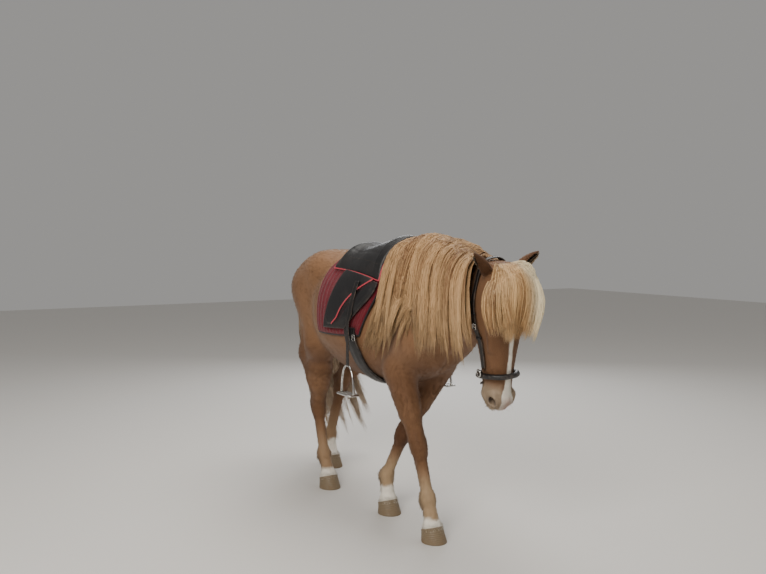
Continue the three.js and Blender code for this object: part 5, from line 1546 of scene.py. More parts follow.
wear, given, result = new_group(
    "worn_edge",
    [("Base", "NodeSocketColor", (0.02, 0.02, 0.02, 1)),
     ("Worn", "NodeSocketColor", (0.1, 0.08, 0.07, 1)),
     ("Edge", "NodeSocketFloat", 0.0), ("Amount", "NodeSocketFloat", 0.6)],
    [("Color", "NodeSocketColor"), ("Mask", "NodeSocketFloat")],
)
scuffs = noise(wear, object_place(wear), 46.0, 6.0, 0.7)
mask = times(wear, ramp(wear, given.outputs["Edge"], 0.35, 1.0), ramp(wear, scuffs, 0.42, 0.62))
dust = times(wear, ramp(wear, noise(wear, object_place(wear), 9.0, 4.0), 0.48, 0.75), 0.22)
mask = times(wear, plus(wear, mask, dust, clamp=True), given.outputs["Amount"])
wear.links.new(mix_colour(wear, mask, given.outputs["Base"], given.outputs["Worn"]),
               result.inputs["Color"])
wear.links.new(mask, result.inputs["Mask"])

weave, given, result = new_group(
    "woven_threads",
    [("Threads", "NodeSocketFloat", 520.0)],
    [("Height", "NodeSocketFloat"), ("Tone", "NodeSocketFloat")],
)
cloth_uv = node(weave, "ShaderNodeUVMap", uv_map="lay").outputs[0]
split_uv = node(weave, "ShaderNodeSeparateXYZ", links={0: cloth_uv})
warp = math_node(weave, "SINE", times(weave, split_uv.outputs[0],
                                      times(weave, given.outputs["Threads"], 2 * math.pi)))
weft = math_node(weave, "SINE", times(weave, split_uv.outputs[1],
                                      times(weave, given.outputs["Threads"], 2 * math.pi)))
crossing = times(weave, warp, weft)
weave.links.new(plus(weave, times(weave, crossing, 0.5), 0.5),
                result.inputs["Height"])
nap = noise(weave, object_place(weave), 210.0, 3.0)
weave.links.new(plus(weave, times(weave, crossing, 0.1), nap),
                result.inputs["Tone"])


# %% Materials of the tack
def leather_look(name, base, worn, size=420.0, relief=0.35, amount=0.6, rough_shift=0.0):
    material, tree, shader = principled(name, Specular_IOR_Level=0.5, Coat_Roughness=0.28)
    grained = group_in(tree, grain, Size=size)
    edged = group_in(tree, wear, Base=base, Worn=worn, Edge=attribute(tree, "edge"), Amount=amount)
    rough = plus(tree, grained.outputs["Rough"],
                 plus(tree, times(tree, edged.outputs["Mask"], 0.25), rough_shift))
    paint(tree, shader, edged.outputs["Color"], rough, (relief, 0.0006, grained.outputs["Height"]))
    return material


def cloth_look(name, deep, light, threads=520.0):
    material, tree, shader = principled(name, Roughness=0.9, Specular_IOR_Level=0.2,
                                        Sheen_Weight=0.15, Sheen_Roughness=0.5)
    woven = group_in(tree, weave, Threads=threads)
    tone = ramp(tree, woven.outputs["Tone"], 0.3, 0.8)
    worn = ramp(tree, noise(tree, object_place(tree), 16.0, 4.0), 0.35, 0.8)
    shade = mix_colour(tree, tone, deep, light)
    tree.links.new(mix_colour(tree, times(tree, worn, 0.3), shade, light),
                   shader.inputs["Base Color"])
    raised = node(tree, "ShaderNodeBump",
                  links={"Strength": 0.6, "Distance": 0.0005, "Height": woven.outputs["Height"]})
    tree.links.new(raised.outputs[0], shader.inputs["Normal"])
    return material


def steel_look(name, bright, dull, roughness):
    material, tree, shader = principled(name, Metallic=1.0)
    place = object_place(tree)
    smears = noise(tree, place, 60.0, 5.0, 0.65)
    scratches = noise(tree, stretched(tree, place, (900, 120, 120)), 1.0, 3.0)
    shade = mix_colour(tree, ramp(tree, smears, 0.3, 0.75), bright, dull)
    paint(tree, shader, shade, plus(tree, times(tree, smears, 0.22), roughness),
          (0.08, 0.0003, scratches))
    return material


black_leather = leather_look("black_leather", colour(24, 23, 25), colour(92, 82, 76))
seat_leather = leather_look("seat_leather", colour(20, 19, 21), colour(84, 74, 70), 300.0, 0.3, 0.5,
                            0.04)
strap_leather = leather_look("strap_leather", colour(22, 20, 21), colour(104, 88, 76), 520.0, 0.3,
                             0.7, -0.03)
piping_look = leather_look("red_piping", colour(196, 62, 78), colour(226, 140, 146), 700.0, 0.2,
                           0.4, 0.1)
pad_look = cloth_look("maroon_pad", colour(84, 18, 30), colour(128, 38, 50))
binding_look = cloth_look("black_binding", colour(20, 20, 22), colour(52, 50, 52), 900.0)
thread_look = cloth_look("waxed_thread", colour(56, 50, 48), colour(120, 110, 102), 1500.0)
steel_bright = steel_look("bright_steel", colour(226, 226, 224), colour(176, 174, 170), 0.1)
# Near black: the hole discs are painted shade where the straps' openings would be
painted_hole_shadow_look = leather_look("painted_hole_shadow", colour(6, 5, 5), colour(14, 12, 12), 600.0, 0.1, 0.2,
                            0.3)

# %% [markdown]
# ## Sheets and bars that lie on the horse
#
# Straps and saddle have to follow a curved body. A ray is cast inwards at every point of a grid, and
# the piece is raised over the spot that it meets, so the leather lies on the pad and the pad on the
# coat everywhere. Bars and straps are one section swept along a line of such spots.


# %% Spots on the barrel and the head
TRUNK_MIDDLE, RAY_START = 1010.0, 450


def round_trunk(x, degrees):
    x, turn = np.broadcast_arrays(np.asarray(x, float), np.radians(np.asarray(degrees, float)))
    x, turn = x.ravel(), turn.ravel()
    way = np.stack([0 * x, np.sin(turn), np.cos(turn)], 1)
    start = np.stack([x, 0 * x, np.full(len(x), TRUNK_MIDDLE)], 1) + way * RAY_START
    return hit(barrel_field, start, -way)


def round_head(z, degrees):
    z, turn = np.broadcast_arrays(np.asarray(z, float), np.radians(np.asarray(degrees, float)))
    z, turn = z.ravel(), turn.ravel()
    out = np.stack([np.cos(turn), np.sin(turn), 0 * turn], 1)
    start = from_head(np.stack([np.full(len(z), -15.0), 0 * z, z], 1) + out * 230)
    return hit(head_field, start, -out @ HEAD_AXES)


def over_poll(degrees):
    turn = np.radians(np.asarray(degrees, float))
    out = unit(np.stack([np.full(len(turn), -0.3), np.sin(turn), np.cos(turn)], 1))
    start = from_head(np.array([-34, 0, -80]) + out * 240)
    return hit(flesh, start, -out @ HEAD_AXES)


# %% Closed shells: recalculated normals, finish, body, and what they replace
def solid_piece(name, points, faces, material, replaces=(), edge=None, uv=None):
    piece = mesh_piece(name, points, faces, material)
    shell = bmesh.new()
    shell.from_mesh(piece.data)
    bmesh.ops.recalc_face_normals(shell, faces=shell.faces)
    shell.to_mesh(piece.data)
    shell.free()
    if edge is not None:
        give(piece, "edge", edge)
    if uv is not None:
        layer = piece.data.uv_layers.new(name="lay")
        corner = np.zeros(len(piece.data.loops), np.int32)
        piece.data.loops.foreach_get("vertex_index", corner)
        layer.data.foreach_set("uv", np.asarray(uv, np.float32)[corner].ravel())
    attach(piece, "root")
    if replaces:
        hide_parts(*replaces)
    return piece


WORN_RIM = 14


def spaced(count, tight=0.8):
    """0 to 1 in steps that get smaller towards both ends."""
    t = np.linspace(0, 1, count)
    return lerp(t, 0.5 - 0.5 * np.cos(np.pi * t), tight)


def sheet(name, rows, columns, spot, low, high, material, replaces=(), rim=6.0, thin=1.2):
    """A closed sheet between two heights over the body, its rim rounded over "rim" millimetres.

    low is a height or a function of u and v, and high one of u, v and the distance from the rim."""
    u, v = (g.ravel() for g in np.meshgrid(spaced(rows), spaced(columns), indexing="ij"))
    at, out = spot(u, v)
    base = low(u, v) if callable(low) else 0 * u + low
    bottom = at + out * base[:, None]
    grid = bottom.reshape(rows, columns, 3)
    down = np.pad(np.linalg.norm(np.diff(grid, axis=0), axis=2), ((1, 0), (0, 0))).cumsum(axis=0)
    along = np.pad(np.linalg.norm(np.diff(grid, axis=1), axis=2), ((0, 0), (1, 0))).cumsum(axis=1)
    from_rim = np.minimum(np.minimum(down, down[-1] - down),
                          np.minimum(along, along[:, -1:] - along)).ravel()
    crown = np.sqrt(np.clip(1 - (1 - np.clip(from_rim / rim, 0, 1)) ** 2, 0, 1))
    top = high(u, v, from_rim) if callable(high) else 0 * u + high
    top = at + out * (base + thin + (top - base - thin) * crown)[:, None]
    n = rows * columns
    quad = np.arange(n).reshape(rows, columns)
    quads = np.stack([quad[:-1, :-1], quad[1:, :-1], quad[1:, 1:], quad[:-1, 1:]],
                     -1).reshape(-1, 4)
    ring = np.concatenate([quad[:-1, 0], quad[-1, :-1], quad[:0:-1, -1], quad[0, :0:-1]])
    after = np.roll(ring, -1)
    walls = np.stack([ring, ring + n, after + n, after], 1)
    faces = np.concatenate([quads[:, ::-1], quads + n, walls])
    near_edge = np.clip(1 - from_rim / WORN_RIM, 0, 1)
    lay = np.stack([down.ravel(), along.ravel()], 1) / 1000
    piece = solid_piece(name, np.concatenate([bottom, top]), faces, material, replaces,
                        np.tile(near_edge, 2), uv=np.tile(lay, (2, 1)))
    print(name, len(faces), "faces")
    return piece, top.reshape(rows, columns, 3), out.reshape(rows, columns, 3)


def rim_of(grid):
    """The rim of a sheet's grid, once round."""
    return np.concatenate([grid[:, 0], grid[-1, 1:], grid[-2::-1, -1], grid[0, -2:0:-1]])


def curve_through(points, count):
    """A smooth line through coarse points."""
    points = np.asarray(points, float)
    n = len(points)
    ends = np.concatenate([[2 * points[0] - points[1]], points, [2 * points[-1] - points[-2]]])
    s = np.linspace(0, n - 1, count)
    i = np.minimum(s.astype(int), n - 2)
    t = (s - i)[:, None]
    a, b, c, d = (ends[i + k] for k in range(4))
    return 0.5 * (2 * b + (c - a) * t + (2 * a - 5 * b + 4 * c - d) * t**2
                  + (3 * b - a - 3 * c + d) * t**3)


def round_section(radius, sides=12, flat=1.0):
    turn = np.arange(sides) / sides * 2 * np.pi
    return np.stack([np.sin(turn) * radius, np.cos(turn) * radius * flat], 1)


def strap_section(width, thick, bevel=1.1):
    """Across and up: a flat band, its four edges rounded off. Its underside is at height 0."""
    w, b, c = width / 2, bevel, bevel * 0.3
    half = [(w - b, 0), (w - c, c), (w, b), (w, thick - b), (w - c, thick - c), (w - b, thick),
            (w * 0.5, thick + 0.2)]
    other = [(-x, y) for x, y in half[::-1]]
    return np.array(half + [(0, thick + 0.3)] + other)


def tube(rows, around, closed=False):
    """Faces between rings of points, and both end faces unless the tube runs back into itself."""
    a = np.arange(rows if closed else rows - 1)[:, None] * around
    b = (a + around) % (rows * around)
    k, after = np.arange(around), (np.arange(around) + 1) % around
    quads = np.stack([a + k, a + after, b + after, b + k], -1).reshape(-1, 4)
    if closed:
        return [quads]
    return [quads, [list(range(around))[::-1], [(rows - 1) * around + i for i in range(around)]]]


def sweep(name, line, outs, section, material, replaces=(), closed=False, size=None,
          wear_at=None):
    """A section swept along a line whose outward directions are "outs"."""
    line = np.asarray(line, float)
    count, sides = len(line), len(section)
    ahead = unit(np.roll(line, -1, 0) - np.roll(line, 1, 0) if closed
                 else np.gradient(line, axis=0))
    up = np.broadcast_to(np.asarray(outs, float), line.shape)
    up = unit(up - ahead * (up * ahead).sum(axis=1, keepdims=True))
    wide = np.cross(ahead, up)
    scale = np.ones(count) if size is None else np.asarray(size)
    points = line[:, None] + (wide[:, None] * section[None, :, :1]
                              + up[:, None] * section[None, :, 1:]) \
        * scale[:, None, None]
    reach = np.abs(section[:, 0]).max()
    edge = np.tile(np.clip((np.abs(section[:, 0]) / reach - 0.72) / 0.28, 0, 1), count)
    walked = np.pad(length(np.diff(line, axis=0)), (1, 0)).cumsum()
    lay = np.stack([np.repeat(walked, sides), np.tile(section[:, 0], count)], 1) / 1000
    solid_piece(name, points.reshape(-1, 3), tube(count, sides, closed), material, replaces,
                edge if wear_at is None else wear_at, lay)


# %% [markdown]
# ## Stitches and holes by Geometry Nodes
#
# A seam is the same small stitch hundreds of times, and a strap the same hole. Geometry Nodes place
# them: a line is resampled at the stitch length, one stitch is set on each point along the line's
# own direction, and the copies are made real because the export drops instances.


# %% The stitch tree and the hole tree
def repeat_tree(name, sizes, follow_line):
    tree = bpy.data.node_groups.new(name, "GeometryNodeTree")
    tree.interface.new_socket("Geometry", in_out="INPUT", socket_type="NodeSocketGeometry")
    for label, value in sizes.items():
        tree.interface.new_socket(label, in_out="INPUT",
                                  socket_type="NodeSocketFloat").default_value = value
    tree.interface.new_socket("Finish", in_out="INPUT", socket_type="NodeSocketMaterial")
    tree.interface.new_socket("Geometry", in_out="OUTPUT", socket_type="NodeSocketGeometry")
    given, result = tree.nodes.new("NodeGroupInput"), tree.nodes.new("NodeGroupOutput")

    def add(kind, **links):
        made = tree.nodes.new(kind)
        for key, value in links.items():
            tree.links.new(value, made.inputs[key.replace("_", " ")])
        return made

    source = given.outputs["Geometry"]
    if follow_line:
        curve = add("GeometryNodeMeshToCurve", Mesh=source)
        spots = tree.nodes.new("GeometryNodeCurveToPoints")
        spots.mode = "LENGTH"
        tree.links.new(curve.outputs[0], spots.inputs["Curve"])
        tree.links.new(given.outputs["Spacing"], spots.inputs["Length"])
        source, way = spots.outputs["Points"], spots.outputs["Tangent"]
    else:
        named = tree.nodes.new("GeometryNodeInputNamedAttribute")
        named.data_type = "FLOAT_VECTOR"
        named.inputs["Name"].default_value = "way"
        way = named.outputs["Attribute"]
    turned = tree.nodes.new("FunctionNodeAlignRotationToVector")
    turned.axis = "Z"
    tree.links.new(way, turned.inputs["Vector"])
    ball = tree.nodes.new("GeometryNodeMeshUVSphere")
    ball.inputs["Segments"].default_value = 6 if follow_line else 12
    ball.inputs["Rings"].default_value = 4 if follow_line else 6
    ball.inputs["Radius"].default_value = 1.0
    scale = add("ShaderNodeCombineXYZ", X=given.outputs["Radius"], Y=given.outputs["Radius"],
                Z=given.outputs["Reach"])
    shaped = add("GeometryNodeTransform", Geometry=ball.outputs["Mesh"], Scale=scale.outputs[0])
    many = add("GeometryNodeInstanceOnPoints", Points=source, Instance=shaped.outputs[0],
               Rotation=turned.outputs[0])
    real = add("GeometryNodeRealizeInstances", Geometry=many.outputs[0])
    soft = add("GeometryNodeSetShadeSmooth", Geometry=real.outputs[0])
    finished = add("GeometryNodeSetMaterial", Geometry=soft.outputs[0],
                   Material=given.outputs["Finish"])
    tree.links.new(finished.outputs[0], result.inputs[0])
    return tree


stitch_tree = repeat_tree("stitch_line", {"Spacing": 0.0055, "Radius": 0.0006, "Reach": 0.0021},
                          True)
hole_tree = repeat_tree("hole_row", {"Radius": 0.0024, "Reach": 0.0006}, False)


def run_tree(name, tree, base, slot, finish, **sizes):
    """The tree's result on a line or on points, as a plain mesh piece."""
    nodes = base.modifiers.new("repeat", "NODES")
    nodes.node_group = tree
    for item in tree.interface.items_tree:
        if item.in_out == "INPUT" and item.name in sizes:
            nodes[item.identifier] = sizes[item.name]
        elif item.in_out == "INPUT" and item.name == "Finish":
            nodes[item.identifier] = finish
    evaluated = base.evaluated_get(bpy.context.evaluated_depsgraph_get())
    mesh = bpy.data.meshes.new_from_object(evaluated)
    piece = new_object(name, mesh)
    bpy.data.objects.remove(base, do_unlink=True)
    mesh.name = name
    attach(piece, "root")
    print(name, len(mesh.polygons), "faces")


def stitches(name, lines, slot="black_leather", **sizes):
    """Stitches along lines given in body millimetres."""
    mesh = bpy.data.meshes.new(name + "_line")
    points, edges = [], []
    for line in lines:
        first = len(points)
        points.extend(map(tuple, placed(line)))
        edges.extend((first + i, first + i + 1) for i in range(len(line) - 1))
    mesh.from_pydata(points, edges, [])
    base = new_object(name + "_line", mesh)
    run_tree(name, stitch_tree, base, slot, thread_look, **sizes)


# Each hole is a flat near-black disc on the strap: painted shade in place of an opening
def holes(name, spots, ways, **sizes):
    mesh = bpy.data.meshes.new(name + "_spots")
    mesh.from_pydata(list(map(tuple, placed(spots))), [], [])
    base = new_object(name + "_spots", mesh)
    given_way = mesh.attributes.new("way", "FLOAT_VECTOR", "POINT")
    given_way.data.foreach_set("vector", np.asarray(ways, np.float32).ravel())
    run_tree(name, hole_tree, base, "black_leather", painted_hole_shadow_look, **sizes)


# %% [markdown]
# ## The saddle and its pad
#
# The pad is a thick maroon cloth, sewn in channels and bound in black tape. It hangs a hand's breadth
# before and behind the saddle. A pad like this could be blown up by a cloth solver. Here it is
# pressed flat between saddle and horse, so its soft swelling between the seams is given in code.

# %% Pad
SADDLE = {"pommel": 320, "cantle": -150, "wrap": 40, "inner": 22}
PAD_ROWS, PAD_COLUMNS = 96, 190
PAD_LENGTH, CHANNEL = 560, 44


def pad_spot(u, v):
    turn = 2 * v - 1
    front = lerp(PAD["frontTop"], PAD["frontLow"], np.abs(turn) ** 1.3)
    back = lerp(PAD["back"], PAD["back"] + 40, np.abs(turn))
    return round_trunk(lerp(front, back, u), PAD["wrap"] * turn)


def pad_top(u, v, from_rim):
    """Sewn channels run round the barrel, 44 mm apart, with a seam along the spine."""
    channels = np.abs(np.sin(np.pi * u * PAD_LENGTH / CHANNEL))
    puff = 0.55 + 0.45 * channels**0.5
    spine = 1 - 0.5 * bell(v - 0.5, 0.008)
    return PAD["inner"] + PAD["thick"] * puff * spine * np.clip(0.4 + from_rim / 30, 0, 1)


pad, pad_grid, pad_out = sheet("saddle_pad_cloth", PAD_ROWS, PAD_COLUMNS, pad_spot,
                               PAD["inner"] - 4, pad_top, pad_look,
                               ("saddle_pad",), rim=9, thin=3)
rim_line, rim_out = rim_of(pad_grid), rim_of(pad_out)
sweep("pad_binding", rim_line - rim_out * 0.5, rim_out, round_section(7, 10, 0.5), binding_look,
      closed=True)
channel_rows = range(8, PAD_ROWS - 8, 9)
stitches("pad_stitches", [pad_grid[i] + pad_out[i] * 0.2 for i in channel_rows], "pad_cloth",
         Spacing=0.008, Radius=0.0007, Reach=0.0028)


# %% Seat, from the pommel to the cantle
def saddle_spot(u, v):
    turn = 2 * v - 1
    front = SADDLE["pommel"] - 18 * np.abs(turn)
    return round_trunk(lerp(front, SADDLE["cantle"] + 30 * turn * turn, u), SADDLE["wrap"] * turn)


def seat_rise(u, v, _):
    turn = 2 * v - 1
    pommel = 14 * bell(u, 0.16)
    cantle = 36 * bell(u - 0.88, 0.13)
    thigh = 16 * (1 - u) * np.sin(np.pi * np.abs(turn)) ** 2
    shape = (1 - turn * turn) ** 0.7 * (0.45 + 0.55 * np.clip(np.minimum(u, 1 - u) * 7, 0, 1))
    groove_line = 2.4 * bell(np.abs(turn) - 0.5, 0.025) * (u > 0.1) * (u < 0.86)
    return (SADDLE["inner"] + 8 + (22 + pommel + cantle + thigh - 8) * np.maximum(shape, 0)
            - groove_line)


seat, seat_grid, seat_out = sheet("saddle_seat", 90, 90, saddle_spot, SADDLE["inner"],
                                  seat_rise, seat_leather, ("saddle",), rim=10,
                                  thin=2)
rim_line, rim_out = rim_of(seat_grid), rim_of(seat_out)
sweep("seat_piping", rim_line + rim_out * 3, rim_out, round_section(3.6, 10), piping_look,
      closed=True)
stitches("seat_stitches",
         [seat_grid[4:-4, 21] + seat_out[4:-4, 21], seat_grid[4:-4, -22] + seat_out[4:-4, -22]])

# %% Flaps with their knee rolls, the outer flap over them, its piping and seams
FLAP = {"frontTop": 302, "frontLow": 122, "backTop": 10, "backLow": -60, "from": 42, "to": 100,
        "inner": 31}
OUTER_FLAP = {"behind": 84, "from": 40.5, "to": 96, "inner": 37.6}
LEATHER = {"x": 168, "over": 45, "width": 28, "thick": 4, "foot": 790}


def flap_pieces(side, sign):
    def spot(u, v):
        front = lerp(FLAP["frontTop"], FLAP["frontLow"], v**1.4)
        return round_trunk(lerp(front, lerp(FLAP["backTop"], FLAP["backLow"], v), u),
                           sign * lerp(FLAP["from"], FLAP["to"], v))

    def rise(u, v, _):
        long = 292 - 110 * v
        roll = 8.5 * bell(u * long - 46, 30, 4) * fade(v, 0.04, 0.2) * (1 - fade(v, 0.72, 0.95))
        return FLAP["inner"] + 5.6 + roll

    _, top, out = sheet(f"{side}_flap_leather", 60, 60, spot, FLAP["inner"], rise,
                        black_leather, (f"{side}_flap",), rim=5)
    seams = [top[5, 5:-5] + out[5, 5:-5] * 0.1, top[5:-5, -6] + out[5:-5, -6] * 0.1]
    stitches(f"{side}_flap_stitches", seams)

    front_ends = []
    for v in (0, 0.5, 1):
        low = ((lerp(OUTER_FLAP["from"], OUTER_FLAP["to"], v) - FLAP["from"])
               / (FLAP["to"] - FLAP["from"]))
        front = lerp(FLAP["frontTop"], FLAP["frontLow"], np.clip(low, 0, 1) ** 1.4)
        front_ends.append(front - lerp(40, OUTER_FLAP["behind"], v) - 60 * np.sin(np.pi * v))

    def outer_spot(u, v):
        a, b, c = front_ends
        front = a * (1 - v) * (1 - 2 * v) + 4 * b * v * (1 - v) + c * v * (2 * v - 1)
        back = lerp(FLAP["backTop"] + 14, FLAP["backLow"] + 16, v)
        corner = 30 * fade(v, 0.8, 1.0) ** 2
        return round_trunk(lerp(front - corner, back + corner, u),
                           sign * lerp(OUTER_FLAP["from"], OUTER_FLAP["to"], v))

    _, top, out = sheet(f"{side}_outer_flap", 50, 60, outer_spot, OUTER_FLAP["inner"],
                        OUTER_FLAP["inner"] + 4.2, black_leather, rim=4)
    line, ways = top[0, 1:-1], out[0, 1:-1]
    sweep(f"{side}_flap_piping", line + ways * 0.6, ways, round_section(3.4, 10), piping_look)
    stitches(f"{side}_outer_flap_stitches",
             [top[4, 3:-4] + out[4, 3:-4] * 0.1, top[4:-4, -5] + out[4:-4, -5] * 0.1])


for side, sign in SIDES:
    flap_pieces(side, sign)

# %% [markdown]
# ## Girth, stirrups and their leathers
#
# The girth is a padded band under the belly. Two billets come down each side from under the flap and
# run through its buckles. Each stirrup hangs from a leather that lies over the flap and then falls
# straight, as an empty stirrup does.

# %% Girth
GIRTH = {"side": 145, "under": 168, "width": 78, "from": 98.5, "inner": 7, "overPad": 22}


def girth_x(v):
    return lerp(GIRTH["side"], GIRTH["under"], np.sin(np.pi * v))


def girth_deep(v):
    span = 360 - 2 * GIRTH["from"]
    return np.clip((np.minimum(v, 1 - v) * span - 14) / 12, 0, 1)


def girth_low(v):
    return lerp(GIRTH["overPad"], GIRTH["inner"], girth_deep(v))


def girth_spot(u, v):
    return round_trunk(girth_x(v) + GIRTH["width"] * (0.5 - u),
                       lerp(GIRTH["from"], 360 - GIRTH["from"], v))


_, girth_grid, girth_out = sheet(
    "girth_band", 26, 150, girth_spot, lambda _, v: girth_low(v),
    lambda u, v, _: girth_low(v) + lerp(4, 9, girth_deep(v)) + 1.5 * bell(u - 0.5, 0.2),
    black_leather, ("girth",), rim=6)
stitches("girth_stitches", [girth_grid[i, 4:-4] + girth_out[i, 4:-4] * 0.1 for i in (5, -6)])


# %% Buckles: a bent wire frame, a roller and a tongue
def stand(at, out, height, up):
    """Where a small piece stands: a function from its own millimetres to the body's."""
    z = unit(out)
    x = unit(np.cross(up, z))
    y = np.cross(z, x)
    foot = at + z * height
    return lambda p: foot + np.asarray(p, float) @ np.array([x, y, z])


def rounded_frame(wide, high, corner, steps=5):
    """The middle line of a frame with round corners."""
    line = []
    for cx, cy, first in ((1, 1, 0), (-1, 1, 90), (-1, -1, 180), (1, -1, 270)):
        for k in range(steps + 1):
            turn = math.radians(first + 90 * k / steps)
            line.append((cx * (wide / 2 - corner) + corner * math.cos(turn),
                         cy * (high / 2 - corner) + corner * math.sin(turn), 0))
    return np.array(line)


def buckle(name, wide, high, wire, put, replaces):
    """put takes the buckle's own millimetres to the body's."""
    up = put([0, 0, 1]) - put([0, 0, 0])
    frame_line = rounded_frame(wide - wire, high - wire, wire * 1.4) + (0, 0, wire / 2)
    sweep(name, put(frame_line), up, round_section(wire / 2, 10), steel_bright, replaces,
          closed=True)
    bar = np.array([(x, -high * 0.02, wire * 0.55)
                    for x in np.linspace(-wide / 2 + wire / 2, wide / 2 - wire / 2, 5)])
    sweep(name + "_bar", put(bar), up, round_section(wire * 0.42, 8), steel_bright)
    reach = np.linspace(0, 1, 9)[:, None]
    tongue = ((0, -high * 0.02, wire * 0.75) * (1 - reach)
              + (0, high / 2 - wire * 0.2, wire * 1.05) * reach)
    tongue = tongue + (0, 0, 0.8) * np.sin(np.pi * reach)
    sweep(name + "_tongue", put(tongue), up, round_section(wire * 0.36, 8), steel_bright,
          size=np.linspace(1.1, 0.75, 9))


for side, sign in SIDES:
    for where, offset in (("front", 20), ("back", -20)):
        x = GIRTH["side"] + 16 + offset
        at, out = round_trunk(x, sign * 109)
        put = stand(at[0], out[0], 27, (0, 0, 1))
        buckle(f"{side}_girth_{where}_frame", 26, 34, 4, put, (f"{side}_girth_buckle_{where}",))
        turns = sign * np.linspace(99.5, 117, 24)
        at, out = round_trunk(np.full(24, x), turns)
        over = np.interp(np.abs(turns), [99, 104, 109, 113, 117], [27.6, 27.6, 27.4, 20, 17.5])
        line = at + out * over[:, None]
        sweep(f"{side}_{where}_billet", line, out, strap_section(21, 2.6), strap_leather)
        spots = line[[3, 7, 18, 21]] + out[[3, 7, 18, 21]] * 2.9
        holes(f"{side}_{where}_billet_holes", spots, out[[3, 7, 18, 21]])


# %% Stirrup leathers
def leather_line(sign):
    """The line down the leather and its outward directions."""
    at, out = round_trunk(LEATHER["x"], sign * np.array([48.0, 60, 72, 84, 92]))
    at = at + out * LEATHER["over"]
    widest = np.abs(at[:, 1]).max()
    top = 1000
    keep = (np.abs(at[:, 1]) < widest - 0.5) & (at[:, 2] > top + 20)
    hang = [(LEATHER["x"], sign * (widest + 1), z)
            for z in (top, (top + LEATHER["foot"]) / 2, LEATHER["foot"])]
    line = np.concatenate([at[keep], hang])
    ways = np.concatenate([out[keep], np.tile([(0, sign, 0)], (3, 1))])
    return line, ways


STIRRUP = {"wide": 136, "high": 150, "bar": 9, "tread": 58}
for side, sign in SIDES:
    coarse, ways = leather_line(sign)
    line, outs = curve_through(coarse, 90), unit(curve_through(ways, 90))
    sweep(f"{side}_leather_strap", line, outs, strap_section(LEATHER["width"], LEATHER["thick"]),
          strap_leather, (f"{side}_stirrup_leather",))
    rows = np.arange(46, 84, 5)
    holes(f"{side}_leather_holes", line[rows] + outs[rows] * 4.4, outs[rows])
    across = unit(np.cross(np.gradient(line, axis=0), outs))
    edges = [line[4:-2] + outs[4:-2] * 4.1 + across[4:-2] * s * 10.5 for s in (1, -1)]
    stitches(f"{side}_leather_stitches", edges, Spacing=0.006)

    # The iron: an arch of one round bar, flat on its tread
    y = coarse[-1][1] + sign * LEATHER["thick"] / 2
    foot = LEATHER["foot"] - 0.3
    wide, high, bar = STIRRUP["wide"] / 2 - STIRRUP["bar"] / 2, STIRRUP["high"], STIRRUP["bar"]
    t = np.linspace(0, 1, 26)[:, None]
    a, b, c, d = (np.array(p, float)
                  for p in ((wide, -high + bar), (wide, -high * 0.42), (wide * 0.72, -16),
                            (16, -bar / 2)))
    rise = a * (1 - t) ** 3 + 3 * b * t * (1 - t) ** 2 + 3 * c * t * t * (1 - t) + d * t**3
    arch = np.concatenate([rise, [(0, -bar / 2)], (rise * (-1, 1))[::-1]])
    line = np.stack([LEATHER["x"] + arch[:, 0], np.full(len(arch), y), foot + arch[:, 1]], 1)
    size = 0.84 + 0.3 * np.clip(1 - (arch[:, 1] + high) / 60, 0, 1)
    sweep(f"{side}_stirrup_arch", line, (0, 1, 0), round_section(bar * 0.52, 14, 1.35),
          steel_bright, (f"{side}_stirrup",), size=size)
    half = STIRRUP["tread"] / 2
    for n in range(5):
        shift = lerp(-half + 4, half - 4, n / 4)
        reach = (wide + 1.5) * math.sqrt(1 - (0.42 * shift / half) ** 2)
        bar_line = np.array([(LEATHER["x"] + x, y + shift, foot - high + bar * 0.55)
                             for x in np.linspace(-reach, reach, 9)])
        sweep(f"{side}_tread_{n + 1}", bar_line, (0, 0, 1),
              round_section(bar * (0.62 if n in (0, 4) else 0.42), 10), steel_bright)
    rim = np.array([(LEATHER["x"] + s * (wide + 1), y + half * k, foot - high + bar * 0.55)
                    for s in (1, -1) for k in np.linspace(-0.86, 0.86, 7)])
    for n, part in enumerate((rim[:7], rim[7:])):
        sweep(f"{side}_tread_side_{n + 1}", part, (0, 0, 1), round_section(bar * 0.6, 10),
              steel_bright)

# %% [markdown]
# ## The bridle
#
# A headstall runs down each cheek to a rolled leather noseband with a ring at each end, and a thin
# strap closes it under the chin. Each cheek has a buckle and two keepers.

# %% Headstall
HEADSTALL = {"width": 25, "thick": 5, "over": 8}
NOSEBAND = {"at": -488, "radius": 12.5, "over": 2.8}
RING = 15


def cheek_angle(z):
    return 116 - 24 * np.clip((np.asarray(z, float) + 90) / -360, 0, 1)


cheek = np.array([-455.0, -395, -330, -265, -200, -150, -110])
poll = np.array([-64.0, -48, -32, -16, 0, 16, 32, 48, 64])
parts = [round_head(cheek, -cheek_angle(cheek)), over_poll(poll),
         round_head(cheek[::-1], cheek_angle(cheek[::-1]))]
coarse_out = np.concatenate([out for _, out in parts])
coarse = np.concatenate([at for at, _ in parts]) + coarse_out * HEADSTALL["over"]
head_line, head_outs = curve_through(coarse, 260), unit(curve_through(coarse_out, 260))
sweep("headstall_strap", head_line, head_outs,
      strap_section(HEADSTALL["width"], HEADSTALL["thick"], 1.3),
      strap_leather, ("headstall",))
across = unit(np.cross(np.gradient(head_line, axis=0), head_outs))
stitches("headstall_stitches",
         [head_line[3:-3] + head_outs[3:-3] * 5.2 + across[3:-3] * s * 9.6 for s in (1, -1)],
         Spacing=0.0052)


def keeper(name, n, wide=29, high=9):
    """A loop round the strap at step n of its line."""
    ahead = unit(head_line[n + 1] - head_line[n - 1])
    loop = rounded_frame(wide, high, 3.4, 4)
    middle = head_line[n] + head_outs[n] * 2.8
    line = middle + across[n] * loop[:, :1] + head_outs[n] * loop[:, 1:2]
    sweep(name, line, ahead, np.array([(1.1, 5), (1.3, 0), (1.1, -5), (-0.6, -5), (-0.6, 5)]),
          black_leather, closed=True)


